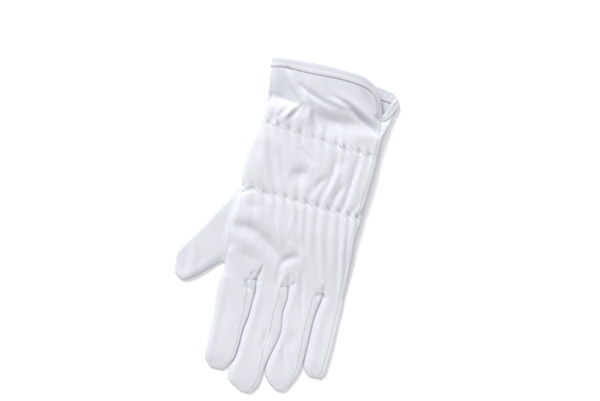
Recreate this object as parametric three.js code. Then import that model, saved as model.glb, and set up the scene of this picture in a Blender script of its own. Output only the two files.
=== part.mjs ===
// A left-hand microfibre cleaning glove that lies palm down: back of the hand up, thumb to -X,
// fingers to -Y, mouth of the cuff to +Y. Millimetres, +Z up. The pattern's tables have their own
// origin near the wrist; the last lines move the glove so that its box stands on the origin.
import * as THREE from 'three';

// Driving dimensions
// Thickness of the cloth.
const CLOTH = 1;
// How far the hem band stands out from the skin and how deep it reaches into the mouth.
const HEM = { proud: 0.4, deep: 1.4 };
// Depth below the skin of an elastic tape's two faces.
const ELASTIC = { near: 1.5, far: 2.2 };
// How far each piece's edge stands back from its seam line: about half the gap at the seam.
const EDGE_BACK = { panel: 0.15, fourchette: 0.2, thumb: 0.3, hem: 0.3 };
// Where a section is widest, as a share of its height.
const SIDE_SHARE = 0.42;
// The higher, the flatter the top of a section and the steeper its sides.
const CROWN_POWER = 3;
// Width over which the underside curves up from the floor to each side.
const FLOOR_ROUND = 4.5;
// Height of the pleats beside the elastic rows, and where they are highest.
const GATHER = { lift: 0.55, reach: 7 };
// The dip of the back where two fingers part.
const CROTCH = { y: -50, drop: 3.4, across: 3, along: 4 };
// The columns of a crotch, as shares of the way down from the back to the palm.
const CROTCH_SHARES = [1 / 3, 2 / 3];
// The slot that the thumb is sewn into: its ends, and how back and palm bend away from it.
const THUMB_HOLE = { from: -43, to: 16.5, bulge: 16, rise: 2.6, reach: 5 };
// Smallest cosine that a wall's thickness is corrected for at a bend.
const STEEPEST_MITRE = 0.65;
// The higher, the nearer to the hem the folds of the cuff run out.
const FOLDS_END = 4;

// Sections of the hand and cuff, from the knuckles up. lean turns a row, as the elastic rows are.
const BODY_ROWS = [
  { y: -50, lean: 0, left: -52, right: 48, height: 9.8 },
  { y: -43, lean: 0, left: -52, right: 48, height: 11 },
  { y: -36, lean: 0, left: -52.2, right: 48, height: 11.6 },
  { y: -28, lean: 0, left: -52.6, right: 48, height: 12 },
  { y: -20, lean: 0, left: -53.5, right: 48, height: 12.2 },
  { y: -11, lean: 0, left: -54.4, right: 47.6, height: 12.4 },
  { y: -2, lean: 0, left: -54.5, right: 47, height: 12.4 },
  { y: 6, lean: -0.02, left: -54.2, right: 47.6, height: 12 },
  { y: 12, lean: -0.04, left: -54, right: 48, height: 11.8 },
  { y: 16.5, lean: -0.055, left: -53.6, right: 48, height: 11.2 },
  { y: 20.5, lean: -0.055, left: -53.5, right: 48, height: 11.2 },
  { y: 26, lean: -0.06, left: -54.4, right: 48.3, height: 12.2 },
  { y: 34, lean: -0.07, left: -55, right: 48.8, height: 12.6 },
  { y: 43, lean: -0.08, left: -54.2, right: 49.4, height: 13 },
  { y: 52, lean: -0.09, left: -52.8, right: 49.8, height: 12.8 },
  { y: 61, lean: -0.09, left: -51, right: 50, height: 12 },
  { y: 68.5, lean: -0.09, left: -49.4, right: 50.2, height: 11.4 },
  { y: 72.5, lean: -0.09, left: -49, right: 50.2, height: 11.4 },
  { y: 78, lean: -0.07, left: -48.6, right: 50, height: 12 },
  { y: 85, lean: -0.04, left: -48.4, right: 50.2, height: 13.2 },
];
const WRIST_ELASTIC_Y = 18.5;
const CUFF_ELASTIC_Y = 70.5;
const ELASTIC_YS = [WRIST_ELASTIC_Y, CUFF_ELASTIC_Y];
const CUFF_STEPS = 5;

// The mouth, once round: over the back from the left fold (turn 0), down into the dent at the side
// seam (turn 0.955), out to the turned-up corner (turn 1.03) and home along the palm (turn 2).
// m is the mouth's own edge, h the line where the hem band ends and the cloth panels begin.
const MOUTH = [
  { turn: 0, mx: -51.5, my: 126, mz: 3.6, hx: -51, hy: 118.5, hz: 3.6 },
  { turn: 0.05, mx: -48.5, my: 126.8, mz: 7.4, hx: -48, hy: 119, hz: 7.8 },
  { turn: 0.12, mx: -40, my: 127.3, mz: 10, hx: -40, hy: 120.4, hz: 10.5 },
  { turn: 0.32, mx: -20, my: 128.4, mz: 13, hx: -20, hy: 119.8, hz: 13.5 },
  { turn: 0.56, mx: 5, my: 128.3, mz: 14, hx: 5, hy: 120.5, hz: 14.5 },
  { turn: 0.7, mx: 22, my: 126.5, mz: 13.5, hx: 21, hy: 119.3, hz: 14 },
  { turn: 0.8, mx: 33, my: 121.8, mz: 12, hx: 32, hy: 116.2, hz: 12.5 },
  { turn: 0.87, mx: 39, my: 115, mz: 9.6, hx: 37.5, hy: 110, hz: 10.4 },
  { turn: 0.92, mx: 42.3, my: 107.5, mz: 7.4, hx: 41, hy: 102.6, hz: 8.4 },
  { turn: 0.955, mx: 45, my: 100.5, mz: 6, hx: 45.2, hy: 95.2, hz: 6.6 },
  { turn: 0.98, mx: 48.2, my: 106.5, mz: 5.8, hx: 51.2, hy: 99.8, hz: 5.6 },
  { turn: 1, mx: 51, my: 113, mz: 5.4, hx: 54.6, hy: 107.4, hz: 4.8 },
  { turn: 1.02, mx: 53.6, my: 117.4, mz: 3.2, hx: 56, hy: 111.4, hz: 2.8 },
  { turn: 1.045, mx: 50.6, my: 119, mz: 1.2, hx: 52.6, hy: 111.4, hz: 1 },
  { turn: 1.175, mx: 38, my: 121.8, mz: 1.1, hx: 38, hy: 113, hz: 0.9 },
  { turn: 1.46, mx: 4, my: 125.2, mz: 1.1, hx: 4, hy: 117, hz: 0.9 },
  { turn: 1.725, mx: -24, my: 125.5, mz: 1.1, hx: -24, hy: 117.5, hz: 0.9 },
  { turn: 1.955, mx: -47.5, my: 124.4, mz: 1.2, hx: -47, hy: 116.8, hz: 1 },
];

// Where the fingers part, as a share of the hand's width, and how many columns each lane takes.
const SIDE_SEAM = 0.955;
const LANES = [
  { finger: 'index', from: 0, to: 0.275, back: 8, palm: 4 },
  { finger: 'middle', from: 0.275, to: 0.54, back: 6, palm: 3 },
  { finger: 'ring', from: 0.54, to: 0.825, back: 6, palm: 3 },
  { finger: 'little', from: 0.825, to: SIDE_SEAM, back: 4, palm: 2 },
];
const SIDE_WRAP = [0.985, 1, 1.015, 1.045];
const LEFT_EASE = 1.45;
const FINGER_EASE = 1.25;

// Sections of each finger, from just past its root to the ring that its tip closes.
const FINGERS = {
  index: [
    { y: -53.5, left: -52.6, right: -25, height: 9.8 },
    { y: -60, left: -53.4, right: -23.6, height: 9.4 },
    { y: -70, left: -53, right: -24, height: 9 },
    { y: -80, left: -52.2, right: -24.1, height: 8.8 },
    { y: -90, left: -51.8, right: -25.7, height: 8.8 },
    { y: -100, left: -51.6, right: -26.1, height: 8.8 },
    { y: -109, left: -51.6, right: -26.6, height: 8.8 },
    { y: -117, left: -51.4, right: -27.7, height: 8.4 },
    { y: -122.5, left: -49.6, right: -30.6, height: 6.6 },
    { y: -127.2, left: -43.5, right: -34, height: 4.4 },
  ],
  middle: [
    { y: -53.5, left: -23.8, right: 1.6, height: 9.8 },
    { y: -60, left: -23.1, right: 2.8, height: 9.4 },
    { y: -70, left: -23.5, right: 1.7, height: 9 },
    { y: -80, left: -23.6, right: 2.8, height: 8.8 },
    { y: -90, left: -25.2, right: 3.4, height: 8.8 },
    { y: -100, left: -25.6, right: 1.4, height: 8.8 },
    { y: -109, left: -26.1, right: -0.6, height: 8.8 },
    { y: -117, left: -27.2, right: -2, height: 8.8 },
    { y: -125, left: -29.4, right: -2.5, height: 8.4 },
    { y: -133, left: -28.2, right: -3.4, height: 7.2 },
    { y: -137.5, left: -23, right: -5.6, height: 5.6 },
    { y: -140.8, left: -16.5, right: -8.5, height: 4.4 },
  ],
  ring: [
    { y: -53.5, left: 2.8, right: 29.8, height: 9.8 },
    { y: -60, left: 3.3, right: 28.8, height: 9.4 },
    { y: -70, left: 2.2, right: 27.4, height: 9 },
    { y: -80, left: 3.3, right: 27.3, height: 8.8 },
    { y: -90, left: 3.9, right: 27.3, height: 8.8 },
    { y: -100, left: 1.9, right: 27.3, height: 8.8 },
    { y: -109, left: -0.1, right: 27, height: 8.8 },
    { y: -117, left: -1.2, right: 25.8, height: 8.6 },
    { y: -125, left: 0.8, right: 22.4, height: 7.8 },
    { y: -130.5, left: 6, right: 20.2, height: 6.2 },
    { y: -133.8, left: 10.5, right: 17, height: 4.4 },
  ],
  little: [
    { y: -53.5, left: 31, right: 48, height: 9.6 },
    { y: -60, left: 29.3, right: 48, height: 9 },
    { y: -70, left: 27.9, right: 48, height: 8.6 },
    { y: -80, left: 27.8, right: 48, height: 8.4 },
    { y: -90, left: 27.8, right: 48, height: 8.4 },
    { y: -100, left: 27.8, right: 47.6, height: 8.4 },
    { y: -107.5, left: 28.2, right: 47.2, height: 8 },
    { y: -113, left: 30.8, right: 46.4, height: 6.4 },
    { y: -117, left: 35.5, right: 43.5, height: 4.4 },
  ],
};

// Width of the gusset strip that shows beside each finger, from the root to the tip.
const GUSSET_SHOWS = [
  { y: -53.5, index: 7, middle: 7, ring: 6.5 },
  { y: -70, index: 6, middle: 7, ring: 5.2 },
  { y: -85, index: 4, middle: 8.4, ring: 5.4 },
  { y: -100, index: 2.8, middle: 8, ring: 4.8 },
  { y: -112, index: 2.8, middle: 5, ring: 3.6 },
  { y: -122, index: 2.8, middle: 3.2, ring: 2.8 },
];
// How far the little finger's seam lies inside its outer edge.
const LITTLE_SEAM_IN = 4;
const GUSSET = { shoulder: 1.4, flank: 1.3, heel: 2.8, foot: 4.4, mostOfWidth: 0.36 };

// Sections of the thumb: a is its outer, upper edge and b its inner edge, towards the index.
const THUMB_ROWS = [
  { ax: -58.6, ay: 12.5, bx: -56, by: -44.6, height: 7.8 },
  { ax: -67, ay: 0, bx: -62, by: -50.4, height: 8.6 },
  { ax: -75, ay: -14, bx: -68, by: -56.4, height: 9.4 },
  { ax: -83, ay: -27, bx: -74.5, by: -61.4, height: 9 },
  { ax: -88.6, ay: -37.5, bx: -79.5, by: -64, height: 8 },
  { ax: -90.4, ay: -45, bx: -84, by: -63.6, height: 6.4 },
  { ax: -90.6, ay: -50, bx: -88.4, by: -59, height: 4.4 },
];

// Main dents (lift under 0) and ridges of the back, each a line with its half width.
const FOLDS = [
  { x0: -49, y0: 97, x1: -22, y1: 95, half: 4.5, lift: -2.4 },
  { x0: -38, y0: 119, x1: -23, y1: 99, half: 4.5, lift: 1.4 },
  { x0: -23, y0: 112, x1: 6, y1: 97, half: 5, lift: -1.8 },
  { x0: -4, y0: 104, x1: 18, y1: 99, half: 4.5, lift: 1.3 },
  { x0: -6, y0: 91, x1: 26, y1: 92, half: 5, lift: -2.4 },
  { x0: 20, y0: 104, x1: 44, y1: 86, half: 4.5, lift: -1.6 },
  { x0: 22, y0: 113, x1: 40, y1: 95, half: 4, lift: 1.3 },
  { x0: -33, y0: 86, x1: -24, y1: 79, half: 4, lift: 1.2 },
  { x0: -42, y0: 60, x1: -28, y1: 26, half: 4, lift: -1.5 },
  { x0: -26, y0: 57, x1: -18, y1: 26, half: 4, lift: -1.3 },
  { x0: -34, y0: 56, x1: -23, y1: 30, half: 3.5, lift: 1 },
  { x0: -14, y0: 44, x1: -4, y1: 42, half: 5, lift: -1.8 },
  { x0: -12, y0: 34, x1: 6, y1: 36, half: 4.5, lift: 1.1 },
  { x0: 15, y0: 60, x1: 11, y1: 24, half: 3.6, lift: -1.6 },
  { x0: 32, y0: 60, x1: 27, y1: 22, half: 3.6, lift: -1.4 },
  { x0: 22, y0: 58, x1: 19, y1: 26, half: 4, lift: 0.9 },
  { x0: -54, y0: -10, x1: -34, y1: -13, half: 4.5, lift: -1.7 },
  { x0: -34, y0: -13, x1: -9, y1: -27, half: 5, lift: -2 },
  { x0: -50, y0: -20, x1: -26, y1: -29, half: 5, lift: 1.2 },
  { x0: 3, y0: -15, x1: 3, y1: -24, half: 4, lift: -1.2 },
  { x0: 2, y0: -29, x1: -6, y1: -40, half: 4, lift: -1.2 },
  { x0: 12, y0: 12, x1: 20, y1: -22, half: 3.6, lift: -1 },
  { x0: 31, y0: 12, x1: 40, y1: -36, half: 3.6, lift: -1 },
  { x0: 24, y0: 8, x1: 30, y1: -34, half: 4, lift: 0.8 },
  { x0: 11, y0: -62, x1: 14, y1: -112, half: 3.4, lift: -0.9 },
  { x0: -13, y0: -62, x1: -15, y1: -124, half: 3.4, lift: -0.8 },
];

const COLOURS = { cloth: 0xe4e5eb, hem: 0xe7e8ed, elastic: 0xf2f2f0 };
const ROUGHNESS = { cloth: 0.95, hem: 0.92, elastic: 0.8 };

// The glove's whole surface, with the vertices of neighbouring pieces shared.
const skin = { points: [], faces: [] };

function addPoint(x, y, z) {
  skin.points.push(new THREE.Vector3(x, y, z));
  return skin.points.length - 1;
}

function addQuad(a, b, c, d, piece) {
  const point = skin.points;
  const cutAC = point[a].distanceTo(point[c]) <= point[b].distanceTo(point[d]);
  const halves = cutAC ? [[a, b, c], [a, c, d]] : [[a, b, d], [b, c, d]];
  for (const corners of halves) skin.faces.push({ corners, piece });
}

// Share of the full height at a place across a section, 0 at its left edge and 1 at its right.
function crown(across) {
  return Math.sqrt(1 - Math.abs(2 * across - 1) ** CROWN_POWER);
}

// A point of a flattened section. turn runs 0 to 1 over the top and 1 to 2 back along the floor.
function sectionPoint(section, turn) {
  const width = section.right - section.left;
  const across = turn <= 1 ? turn : 2 - turn;
  const side = SIDE_SHARE * section.height;
  const x = section.left + across * width;
  const y = section.y + (section.lean ?? 0) * x;
  if (turn <= 1) return new THREE.Vector3(x, y, side + (section.height - side) * crown(across));
  const fromEdge = Math.min(across, 1 - across) * width;
  return new THREE.Vector3(x, y, side * Math.max(0, 1 - fromEdge / FLOOR_ROUND) ** 2);
}

// Height that the fold table adds at a place on the back.
function foldLift(x, y) {
  let lift = 0;
  for (const fold of FOLDS) {
    const along = new THREE.Vector2(fold.x1 - fold.x0, fold.y1 - fold.y0);
    const offset = new THREE.Vector2(x - fold.x0, y - fold.y0);
    const share = THREE.MathUtils.clamp(offset.dot(along) / along.lengthSq(), 0, 1);
    const distance = offset.addScaledVector(along, -share).length();
    lift += fold.lift * Math.exp(-((distance / fold.half) ** 2));
  }
  return lift;
}

// Small pleats beside the elastic rows: every second column stands up.
function gatherLift(y, column) {
  let lift = 0;
  for (const rowY of ELASTIC_YS) {
    const beside = Math.exp(-(((Math.abs(y - rowY) - GATHER.reach) / GATHER.reach) ** 2));
    lift += (column % 2 ? 1 : -1) * GATHER.lift * beside;
  }
  return lift;
}

// Depth of the dip where two fingers part.
function crotchDrop(x, y, section) {
  let drop = 0;
  for (const lane of LANES.slice(1)) {
    const crotchX = section.left + lane.from * (section.right - section.left);
    const across = (x - crotchX) / CROTCH.across;
    const along = (y - CROTCH.y) / CROTCH.along;
    drop += CROTCH.drop * Math.exp(-(across ** 2) - along ** 2);
  }
  return drop;
}

// Turns of the body's columns: the back from the left fold to the side seam, then the palm home.
function bodyColumns() {
  const back = [0];
  for (const lane of LANES) {
    for (let step = 1; step <= lane.back; step += 1) {
      const share = (step / lane.back) ** (lane.from === 0 ? LEFT_EASE : 1);
      back.push(lane.from + (lane.to - lane.from) * share);
    }
  }
  const palm = [SIDE_SEAM, ...SIDE_WRAP];
  for (const lane of [...LANES].reverse()) {
    for (let step = 1; step <= lane.palm; step += 1) {
      const share = (1 - step / lane.palm) ** (lane.from === 0 ? LEFT_EASE : 1);
      palm.push(2 - (lane.from + (lane.to - lane.from) * share));
    }
  }
  return { back, palm };
}

const columns = bodyColumns();
const isThumbRow = (row) => row.y > THUMB_HOLE.from && row.y < THUMB_HOLE.to;

// 0 at both ends of the thumb's slot and 1 in its middle.
function thumbShare(row) {
  if (!isThumbRow(row)) return 0;
  return Math.sin((Math.PI * (row.y - THUMB_HOLE.from)) / (THUMB_HOLE.to - THUMB_HOLE.from));
}

// The back's left edge rises where the thumb goes in, and the palm's draws in to the slot's foot.
function bodyPoint(row, turn, column, onBack) {
  const point = sectionPoint(row, turn);
  const across = turn <= 1 ? turn : 2 - turn;
  if (onBack) {
    const lift = foldLift(point.x, point.y) + gatherLift(row.y, column);
    const rise = THUMB_HOLE.rise * Math.exp((row.left - point.x) / THUMB_HOLE.reach);
    point.z += crown(across) * lift + rise * thumbShare(row) - crotchDrop(point.x, point.y, row);
  } else if (isThumbRow(row) && turn >= 2 - LANES[0].to) {
    point.x += THUMB_HOLE.bulge * thumbShare(row) * (1 - across / LANES[0].to);
    point.z = 0;
  }
  return point;
}

// Both mouth curves as smooth closed loops that are read by turn.
function mouthCurve(axisX, axisY, axisZ) {
  const points = MOUTH.map((row) => new THREE.Vector3(row[axisX], row[axisY], row[axisZ]));
  const curve = new THREE.CatmullRomCurve3(points, true, 'centripetal');
  return (turn) => {
    const next = MOUTH.findIndex((row) => row.turn > turn);
    const last = next < 0 ? MOUTH.length - 1 : next - 1;
    const end = next < 0 ? 2 : MOUTH[next].turn;
    const share = (turn - MOUTH[last].turn) / (end - MOUTH[last].turn);
    return curve.getPoint(((last + share) / MOUTH.length) % 1);
  };
}

// Rows of vertex numbers for the hand and cuff. Where the thumb goes in, the palm's left end has
// its own vertices; elsewhere it shares the back's left fold.
function buildBody() {
  const rows = BODY_ROWS.map((row) => {
    const back = columns.back.map((turn, column) => addPoint(...bodyPoint(row, turn, column, true)));
    const palm = columns.palm.map((turn, column) => {
      if (column === 0) return back[back.length - 1];
      if (turn === 2 && !isThumbRow(row)) return back[0];
      return addPoint(...bodyPoint(row, turn, column, false));
    });
    return { back, palm };
  });
  const start = BODY_ROWS[BODY_ROWS.length - 1];
  const hemLine = mouthCurve('hx', 'hy', 'hz');
  const edge = mouthCurve('mx', 'my', 'mz');
  const addCuffPoint = (turn, step, onBack) => {
    if (step > CUFF_STEPS) return addPoint(...edge(turn));
    const share = step / CUFF_STEPS;
    const point = sectionPoint(start, turn).lerp(hemLine(turn), share);
    if (onBack) point.z += crown(Math.min(turn, 1)) * foldLift(point.x, point.y) * (1 - share ** FOLDS_END);
    return addPoint(...point);
  };
  for (let step = 1; step <= CUFF_STEPS + 1; step += 1) {
    const back = columns.back.map((turn) => addCuffPoint(turn, step, true));
    const palm = columns.palm.map((turn, column) => {
      if (column === 0) return back[back.length - 1];
      if (turn === 2) return back[0];
      return addCuffPoint(turn, step, false);
    });
    rows.push({ back, palm });
  }
  for (let row = 0; row < rows.length - 1; row += 1) {
    const isHem = row === rows.length - 2;
    joinRows(rows[row].back, rows[row + 1].back, isHem ? 'cuff_hem' : 'back_panel');
    joinRows(rows[row].palm, rows[row + 1].palm, isHem ? 'cuff_hem' : 'palm_panel');
  }
  return rows;
}

// Skins the strip between two rows of vertex numbers. Outside is up when the first row runs to
// the right and the second lies beyond it.
function joinRows(lower, upper, piece) {
  for (let column = 0; column < lower.length - 1; column += 1) {
    addQuad(lower[column], lower[column + 1], upper[column + 1], upper[column], piece);
  }
}

// Closes an end between its upper and lower lines, which share their first and last vertices.
function closeEnd(top, bottom, piece) {
  const reach = (line, index) => skin.points[line[index]].distanceTo(skin.points[line[0]]);
  let upper = 0;
  let lower = 0;
  while (upper < top.length - 1 || lower < bottom.length - 1) {
    const topNext = upper + 1 < top.length ? reach(top, upper + 1) : Infinity;
    const bottomNext = lower + 1 < bottom.length ? reach(bottom, lower + 1) : Infinity;
    const stepTop = topNext < bottomNext;
    const nextVertex = stepTop ? top[upper + 1] : bottom[lower + 1];
    const corners = [bottom[lower], nextVertex, top[upper]];
    if (new Set(corners).size === 3) skin.faces.push({ corners, piece });
    if (stepTop) upper += 1;
    else lower += 1;
  }
}

// Column turns of one finger's section, in the same order and number as its lane of the body.
// The distances from its sides shrink with the section, so that they fit near the tip too.
// Reads a finger's strip width between the rows of its table.
function gussetShows(finger, y) {
  const below = GUSSET_SHOWS.findIndex((row) => row.y <= y);
  if (below === 0) return GUSSET_SHOWS[0][finger];
  if (below < 0) return GUSSET_SHOWS[GUSSET_SHOWS.length - 1][finger];
  const upper = GUSSET_SHOWS[below - 1];
  const lower = GUSSET_SHOWS[below];
  const share = (upper.y - y) / (upper.y - lower.y);
  return upper[finger] + (lower[finger] - upper[finger]) * share;
}

function fingerColumns(lane, section) {
  const width = section.right - section.left;
  const isLast = lane.finger === 'little';
  const unit = Math.min(1 / width, GUSSET.mostOfWidth / GUSSET.foot);
  const seamIn = isLast ? LITTLE_SEAM_IN : gussetShows(lane.finger, section.y);
  const seam = 1 - seamIn * unit;
  const back = [];
  for (let step = 0; step <= lane.back; step += 1) {
    back.push(seam * (step / lane.back) ** FINGER_EASE);
  }
  const palmStart = 1 + GUSSET.foot * unit;
  const palmEnd = lane.from === 0 ? 2 : 2 - GUSSET.foot * unit;
  const wrap = [seam, 1 - GUSSET.shoulder * unit, 1, 1 + GUSSET.flank * unit];
  const palm = isLast ? [...wrap, palmStart] : [palmStart];
  for (let step = 1; step <= lane.palm; step += 1) {
    palm.push(palmStart + ((palmEnd - palmStart) * step) / lane.palm);
  }
  const right = [1 - GUSSET.shoulder * unit, 1];
  const left = [2 - GUSSET.flank * unit, 2 - GUSSET.heel * unit];
  return { back, palm, right, left };
}

function addSectionPoint(section, turn, lifted) {
  const point = sectionPoint(section, turn);
  if (lifted) point.z += crown(turn) * foldLift(point.x, point.y);
  return addPoint(...point);
}

// One finger: rings of vertex numbers from its lane of the knuckle row to its closed tip.
function buildFinger(lane, root, leftCrotch, rightCrotch, pieces) {
  let last = { ...root, left: leftCrotch, right: rightCrotch };
  for (const section of FINGERS[lane.finger]) {
    const turns = fingerColumns(lane, section);
    const back = turns.back.map((turn) => addSectionPoint(section, turn, true));
    const palm = turns.palm.map((turn, column) => {
      if (column === 0 && !rightCrotch) return back[back.length - 1];
      if (turn === 2) return back[0];
      return addSectionPoint(section, turn, false);
    });
    const right = rightCrotch && [
      back[back.length - 1],
      ...turns.right.map((turn) => addSectionPoint(section, turn, false)),
      palm[0],
    ];
    const left = leftCrotch && [
      back[0],
      ...turns.left.map((turn) => addSectionPoint(section, turn, false)),
      palm[palm.length - 1],
    ];
    joinRows(back, last.back, 'back_panel');
    joinRows(palm, last.palm, 'palm_panel');
    if (right) joinRows(right, last.right, pieces.right);
    if (left) joinRows([...left].reverse(), [...last.left].reverse(), pieces.left);
    last = { back, palm, left, right };
  }
  const side = last.palm.findIndex((vertex) => skin.points[vertex].x === furthest(last.palm));
  const top = last.right ? [...last.back, ...last.right.slice(1, 3)] : [...last.back];
  const under = last.right ? [last.right[2], ...last.palm] : last.palm.slice(side);
  if (!last.right) top.push(...last.palm.slice(1, side + 1));
  if (last.left) under.push(...[...last.left].reverse().slice(1));
  closeEnd(top, under.reverse(), 'back_panel');
}

function furthest(vertices) {
  return Math.max(...vertices.map((vertex) => skin.points[vertex].x));
}

// The gusset's own vertices down the crotch between two fingers.
function crotchLine(backVertex, palmVertex) {
  const high = skin.points[backVertex];
  const low = skin.points[palmVertex];
  const between = CROTCH_SHARES.map((share) => addPoint(...high.clone().lerp(low, share)));
  return [backVertex, ...between, palmVertex];
}

function buildFingers(knuckles) {
  const gussets = ['fourchette_index_middle', 'fourchette_middle_ring', 'fourchette_ring_little'];
  let backAt = 0;
  let palmAt = knuckles.palm.length - 1;
  let leftCrotch = null;
  LANES.forEach((lane, number) => {
    const isLast = number === LANES.length - 1;
    const backEnd = backAt + lane.back;
    const palmStart = isLast ? 0 : palmAt - lane.palm;
    const back = knuckles.back.slice(backAt, backEnd + 1);
    const palm = knuckles.palm.slice(palmStart, palmAt + 1);
    const rightCrotch = isLast ? null : crotchLine(back[back.length - 1], palm[0]);
    const pieces = { left: gussets[number - 1], right: gussets[number] };
    buildFinger(lane, { back, palm }, leftCrotch, rightCrotch, pieces);
    backAt = backEnd;
    palmAt = palmStart;
    leftCrotch = rightCrotch;
  });
}

// The thumb: a tube whose root is the slot that the back and palm panels leave at the left.
function buildThumb(bodyRows) {
  const first = BODY_ROWS.findIndex((row) => row.y === THUMB_HOLE.from);
  const last = BODY_ROWS.findIndex((row) => row.y === THUMB_HOLE.to);
  const slot = bodyRows.slice(first, last + 1);
  const shares = BODY_ROWS.slice(first, last + 1).map((row) => {
    return (row.y - THUMB_HOLE.from) / (THUMB_HOLE.to - THUMB_HOLE.from);
  });
  let top = slot.map((row) => row.back[0]);
  let under = slot.map((row) => row.palm[row.palm.length - 1]);
  for (const row of THUMB_ROWS) {
    const inner = new THREE.Vector3(row.bx, row.by, 0);
    const outer = new THREE.Vector3(row.ax, row.ay, 0);
    const section = { left: 0, right: inner.distanceTo(outer), height: row.height };
    const place = (turn, share) => {
      const height = sectionPoint({ ...section, y: 0 }, turn).z;
      return addPoint(...inner.clone().lerp(outer, share).setZ(height));
    };
    const nextTop = shares.map((share) => place(share, share));
    const nextUnder = shares.map((share, index) => {
      const isEnd = index === 0 || index === shares.length - 1;
      return isEnd ? nextTop[index] : place(2 - share, share);
    });
    joinRows(top, nextTop, 'thumb');
    joinRows([...under].reverse(), [...nextUnder].reverse(), 'thumb');
    top = nextTop;
    under = nextUnder;
  }
  closeEnd([...top].reverse(), [...under].reverse(), 'thumb');
}

// Outward normal of every vertex, with the mitre that keeps a wall's thickness round a bend.
// Each face counts by its angle at the vertex.
function vertexNormals() {
  const corners = skin.points.map(() => []);
  for (const face of skin.faces) {
    const points = face.corners.map((vertex) => skin.points[vertex]);
    const sides = points.map((point, index) => points[(index + 1) % 3].clone().sub(point).normalize());
    const normal = sides[0].clone().cross(sides[1]).normalize();
    face.corners.forEach((vertex, index) => {
      const angle = Math.PI - sides[index].angleTo(sides[(index + 2) % 3]);
      corners[vertex].push({ normal, angle });
    });
  }
  return corners.map((around) => {
    const sum = new THREE.Vector3();
    let angles = 0;
    for (const { normal, angle } of around) {
      sum.addScaledVector(normal, angle);
      angles += angle;
    }
    const cosine = sum.length() / angles;
    return sum.normalize().divideScalar(Math.max(STEEPEST_MITRE, cosine));
  });
}

// Edges of a set of faces that only one of them has, each with that face's own direction.
function openEdges(faces) {
  const edges = new Map();
  for (const { corners } of faces) {
    corners.forEach((from, index) => {
      const to = corners[(index + 1) % 3];
      if (!edges.delete(`${to}_${from}`)) edges.set(`${from}_${to}`, { from, to });
    });
  }
  return [...edges.values()];
}

// How far each vertex of a piece's edge draws back, so that two sewn pieces keep their gap.
function drawBack(edges, normals, distance) {
  const pulls = new Map();
  for (const { from, to } of edges) {
    const along = skin.points[to].clone().sub(skin.points[from]).normalize();
    for (const vertex of [from, to]) {
      const inward = normals[vertex].clone().normalize().cross(along).normalize();
      if (!pulls.has(vertex)) pulls.set(vertex, []);
      pulls.get(vertex).push(inward);
    }
  }
  const moves = new Map();
  for (const [vertex, inwards] of pulls) {
    const middle = inwards.reduce((sum, inward) => sum.add(inward), new THREE.Vector3()).normalize();
    const cosine = Math.max(STEEPEST_MITRE, middle.dot(inwards[0]));
    moves.set(vertex, middle.multiplyScalar(distance / cosine));
  }
  return moves;
}

// A closed wall from some faces of the skin: near and far are its two depths below the surface.
// No edge that draws back may dip under the plane that the glove lies on.
function thicken(faces, normals, near, far, edgeBack) {
  const edges = openEdges(faces);
  const moves = drawBack(edges, normals, edgeBack);
  const numbers = new Map();
  const positions = [];
  const indices = [];
  for (const { corners } of faces) {
    for (const vertex of corners) {
      if (numbers.has(vertex)) continue;
      numbers.set(vertex, numbers.size);
      const place = skin.points[vertex].clone().add(moves.get(vertex) ?? new THREE.Vector3());
      place.z = Math.max(place.z, 0);
      for (const depth of [near, far]) {
        positions.push(...place.clone().addScaledVector(normals[vertex], -depth));
      }
    }
  }
  const outer = (vertex) => 2 * numbers.get(vertex);
  const inner = (vertex) => outer(vertex) + 1;
  for (const { corners: [a, b, c] } of faces) {
    indices.push(outer(a), outer(b), outer(c), inner(c), inner(b), inner(a));
  }
  // Both pieces at a seam cut a twisted rim along the same diagonal, so that their gap stays even.
  for (const { from, to } of edges) {
    const rim = [outer(from), inner(from), inner(to), outer(to)];
    const cut = from < to ? [0, 1, 2, 0, 2, 3] : [0, 1, 3, 1, 2, 3];
    indices.push(...cut.map((corner) => rim[corner]));
  }
  const geometry = new THREE.BufferGeometry();
  geometry.setAttribute('position', new THREE.Float32BufferAttribute(positions, 3));
  geometry.setIndex(indices);
  return geometry;
}

function makeMesh(name, geometry, finish) {
  const material = new THREE.MeshStandardMaterial({
    color: COLOURS[finish],
    roughness: ROUGHNESS[finish],
    metalness: 0,
  });
  const mesh = new THREE.Mesh(geometry, material);
  mesh.name = name;
  return mesh;
}

// Faces of the strip of the body that lies between two elastic rows.
function elasticFaces(bodyRows, rowY) {
  const upper = BODY_ROWS.findIndex((row) => row.y > rowY);
  const inStrip = new Set([
    ...bodyRows[upper - 1].back, ...bodyRows[upper - 1].palm,
    ...bodyRows[upper].back, ...bodyRows[upper].palm,
  ]);
  return skin.faces.filter(({ corners }) => corners.every((vertex) => inStrip.has(vertex)));
}

const bodyRows = buildBody();
buildFingers(bodyRows[0]);
buildThumb(bodyRows);
const normals = vertexNormals();

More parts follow.
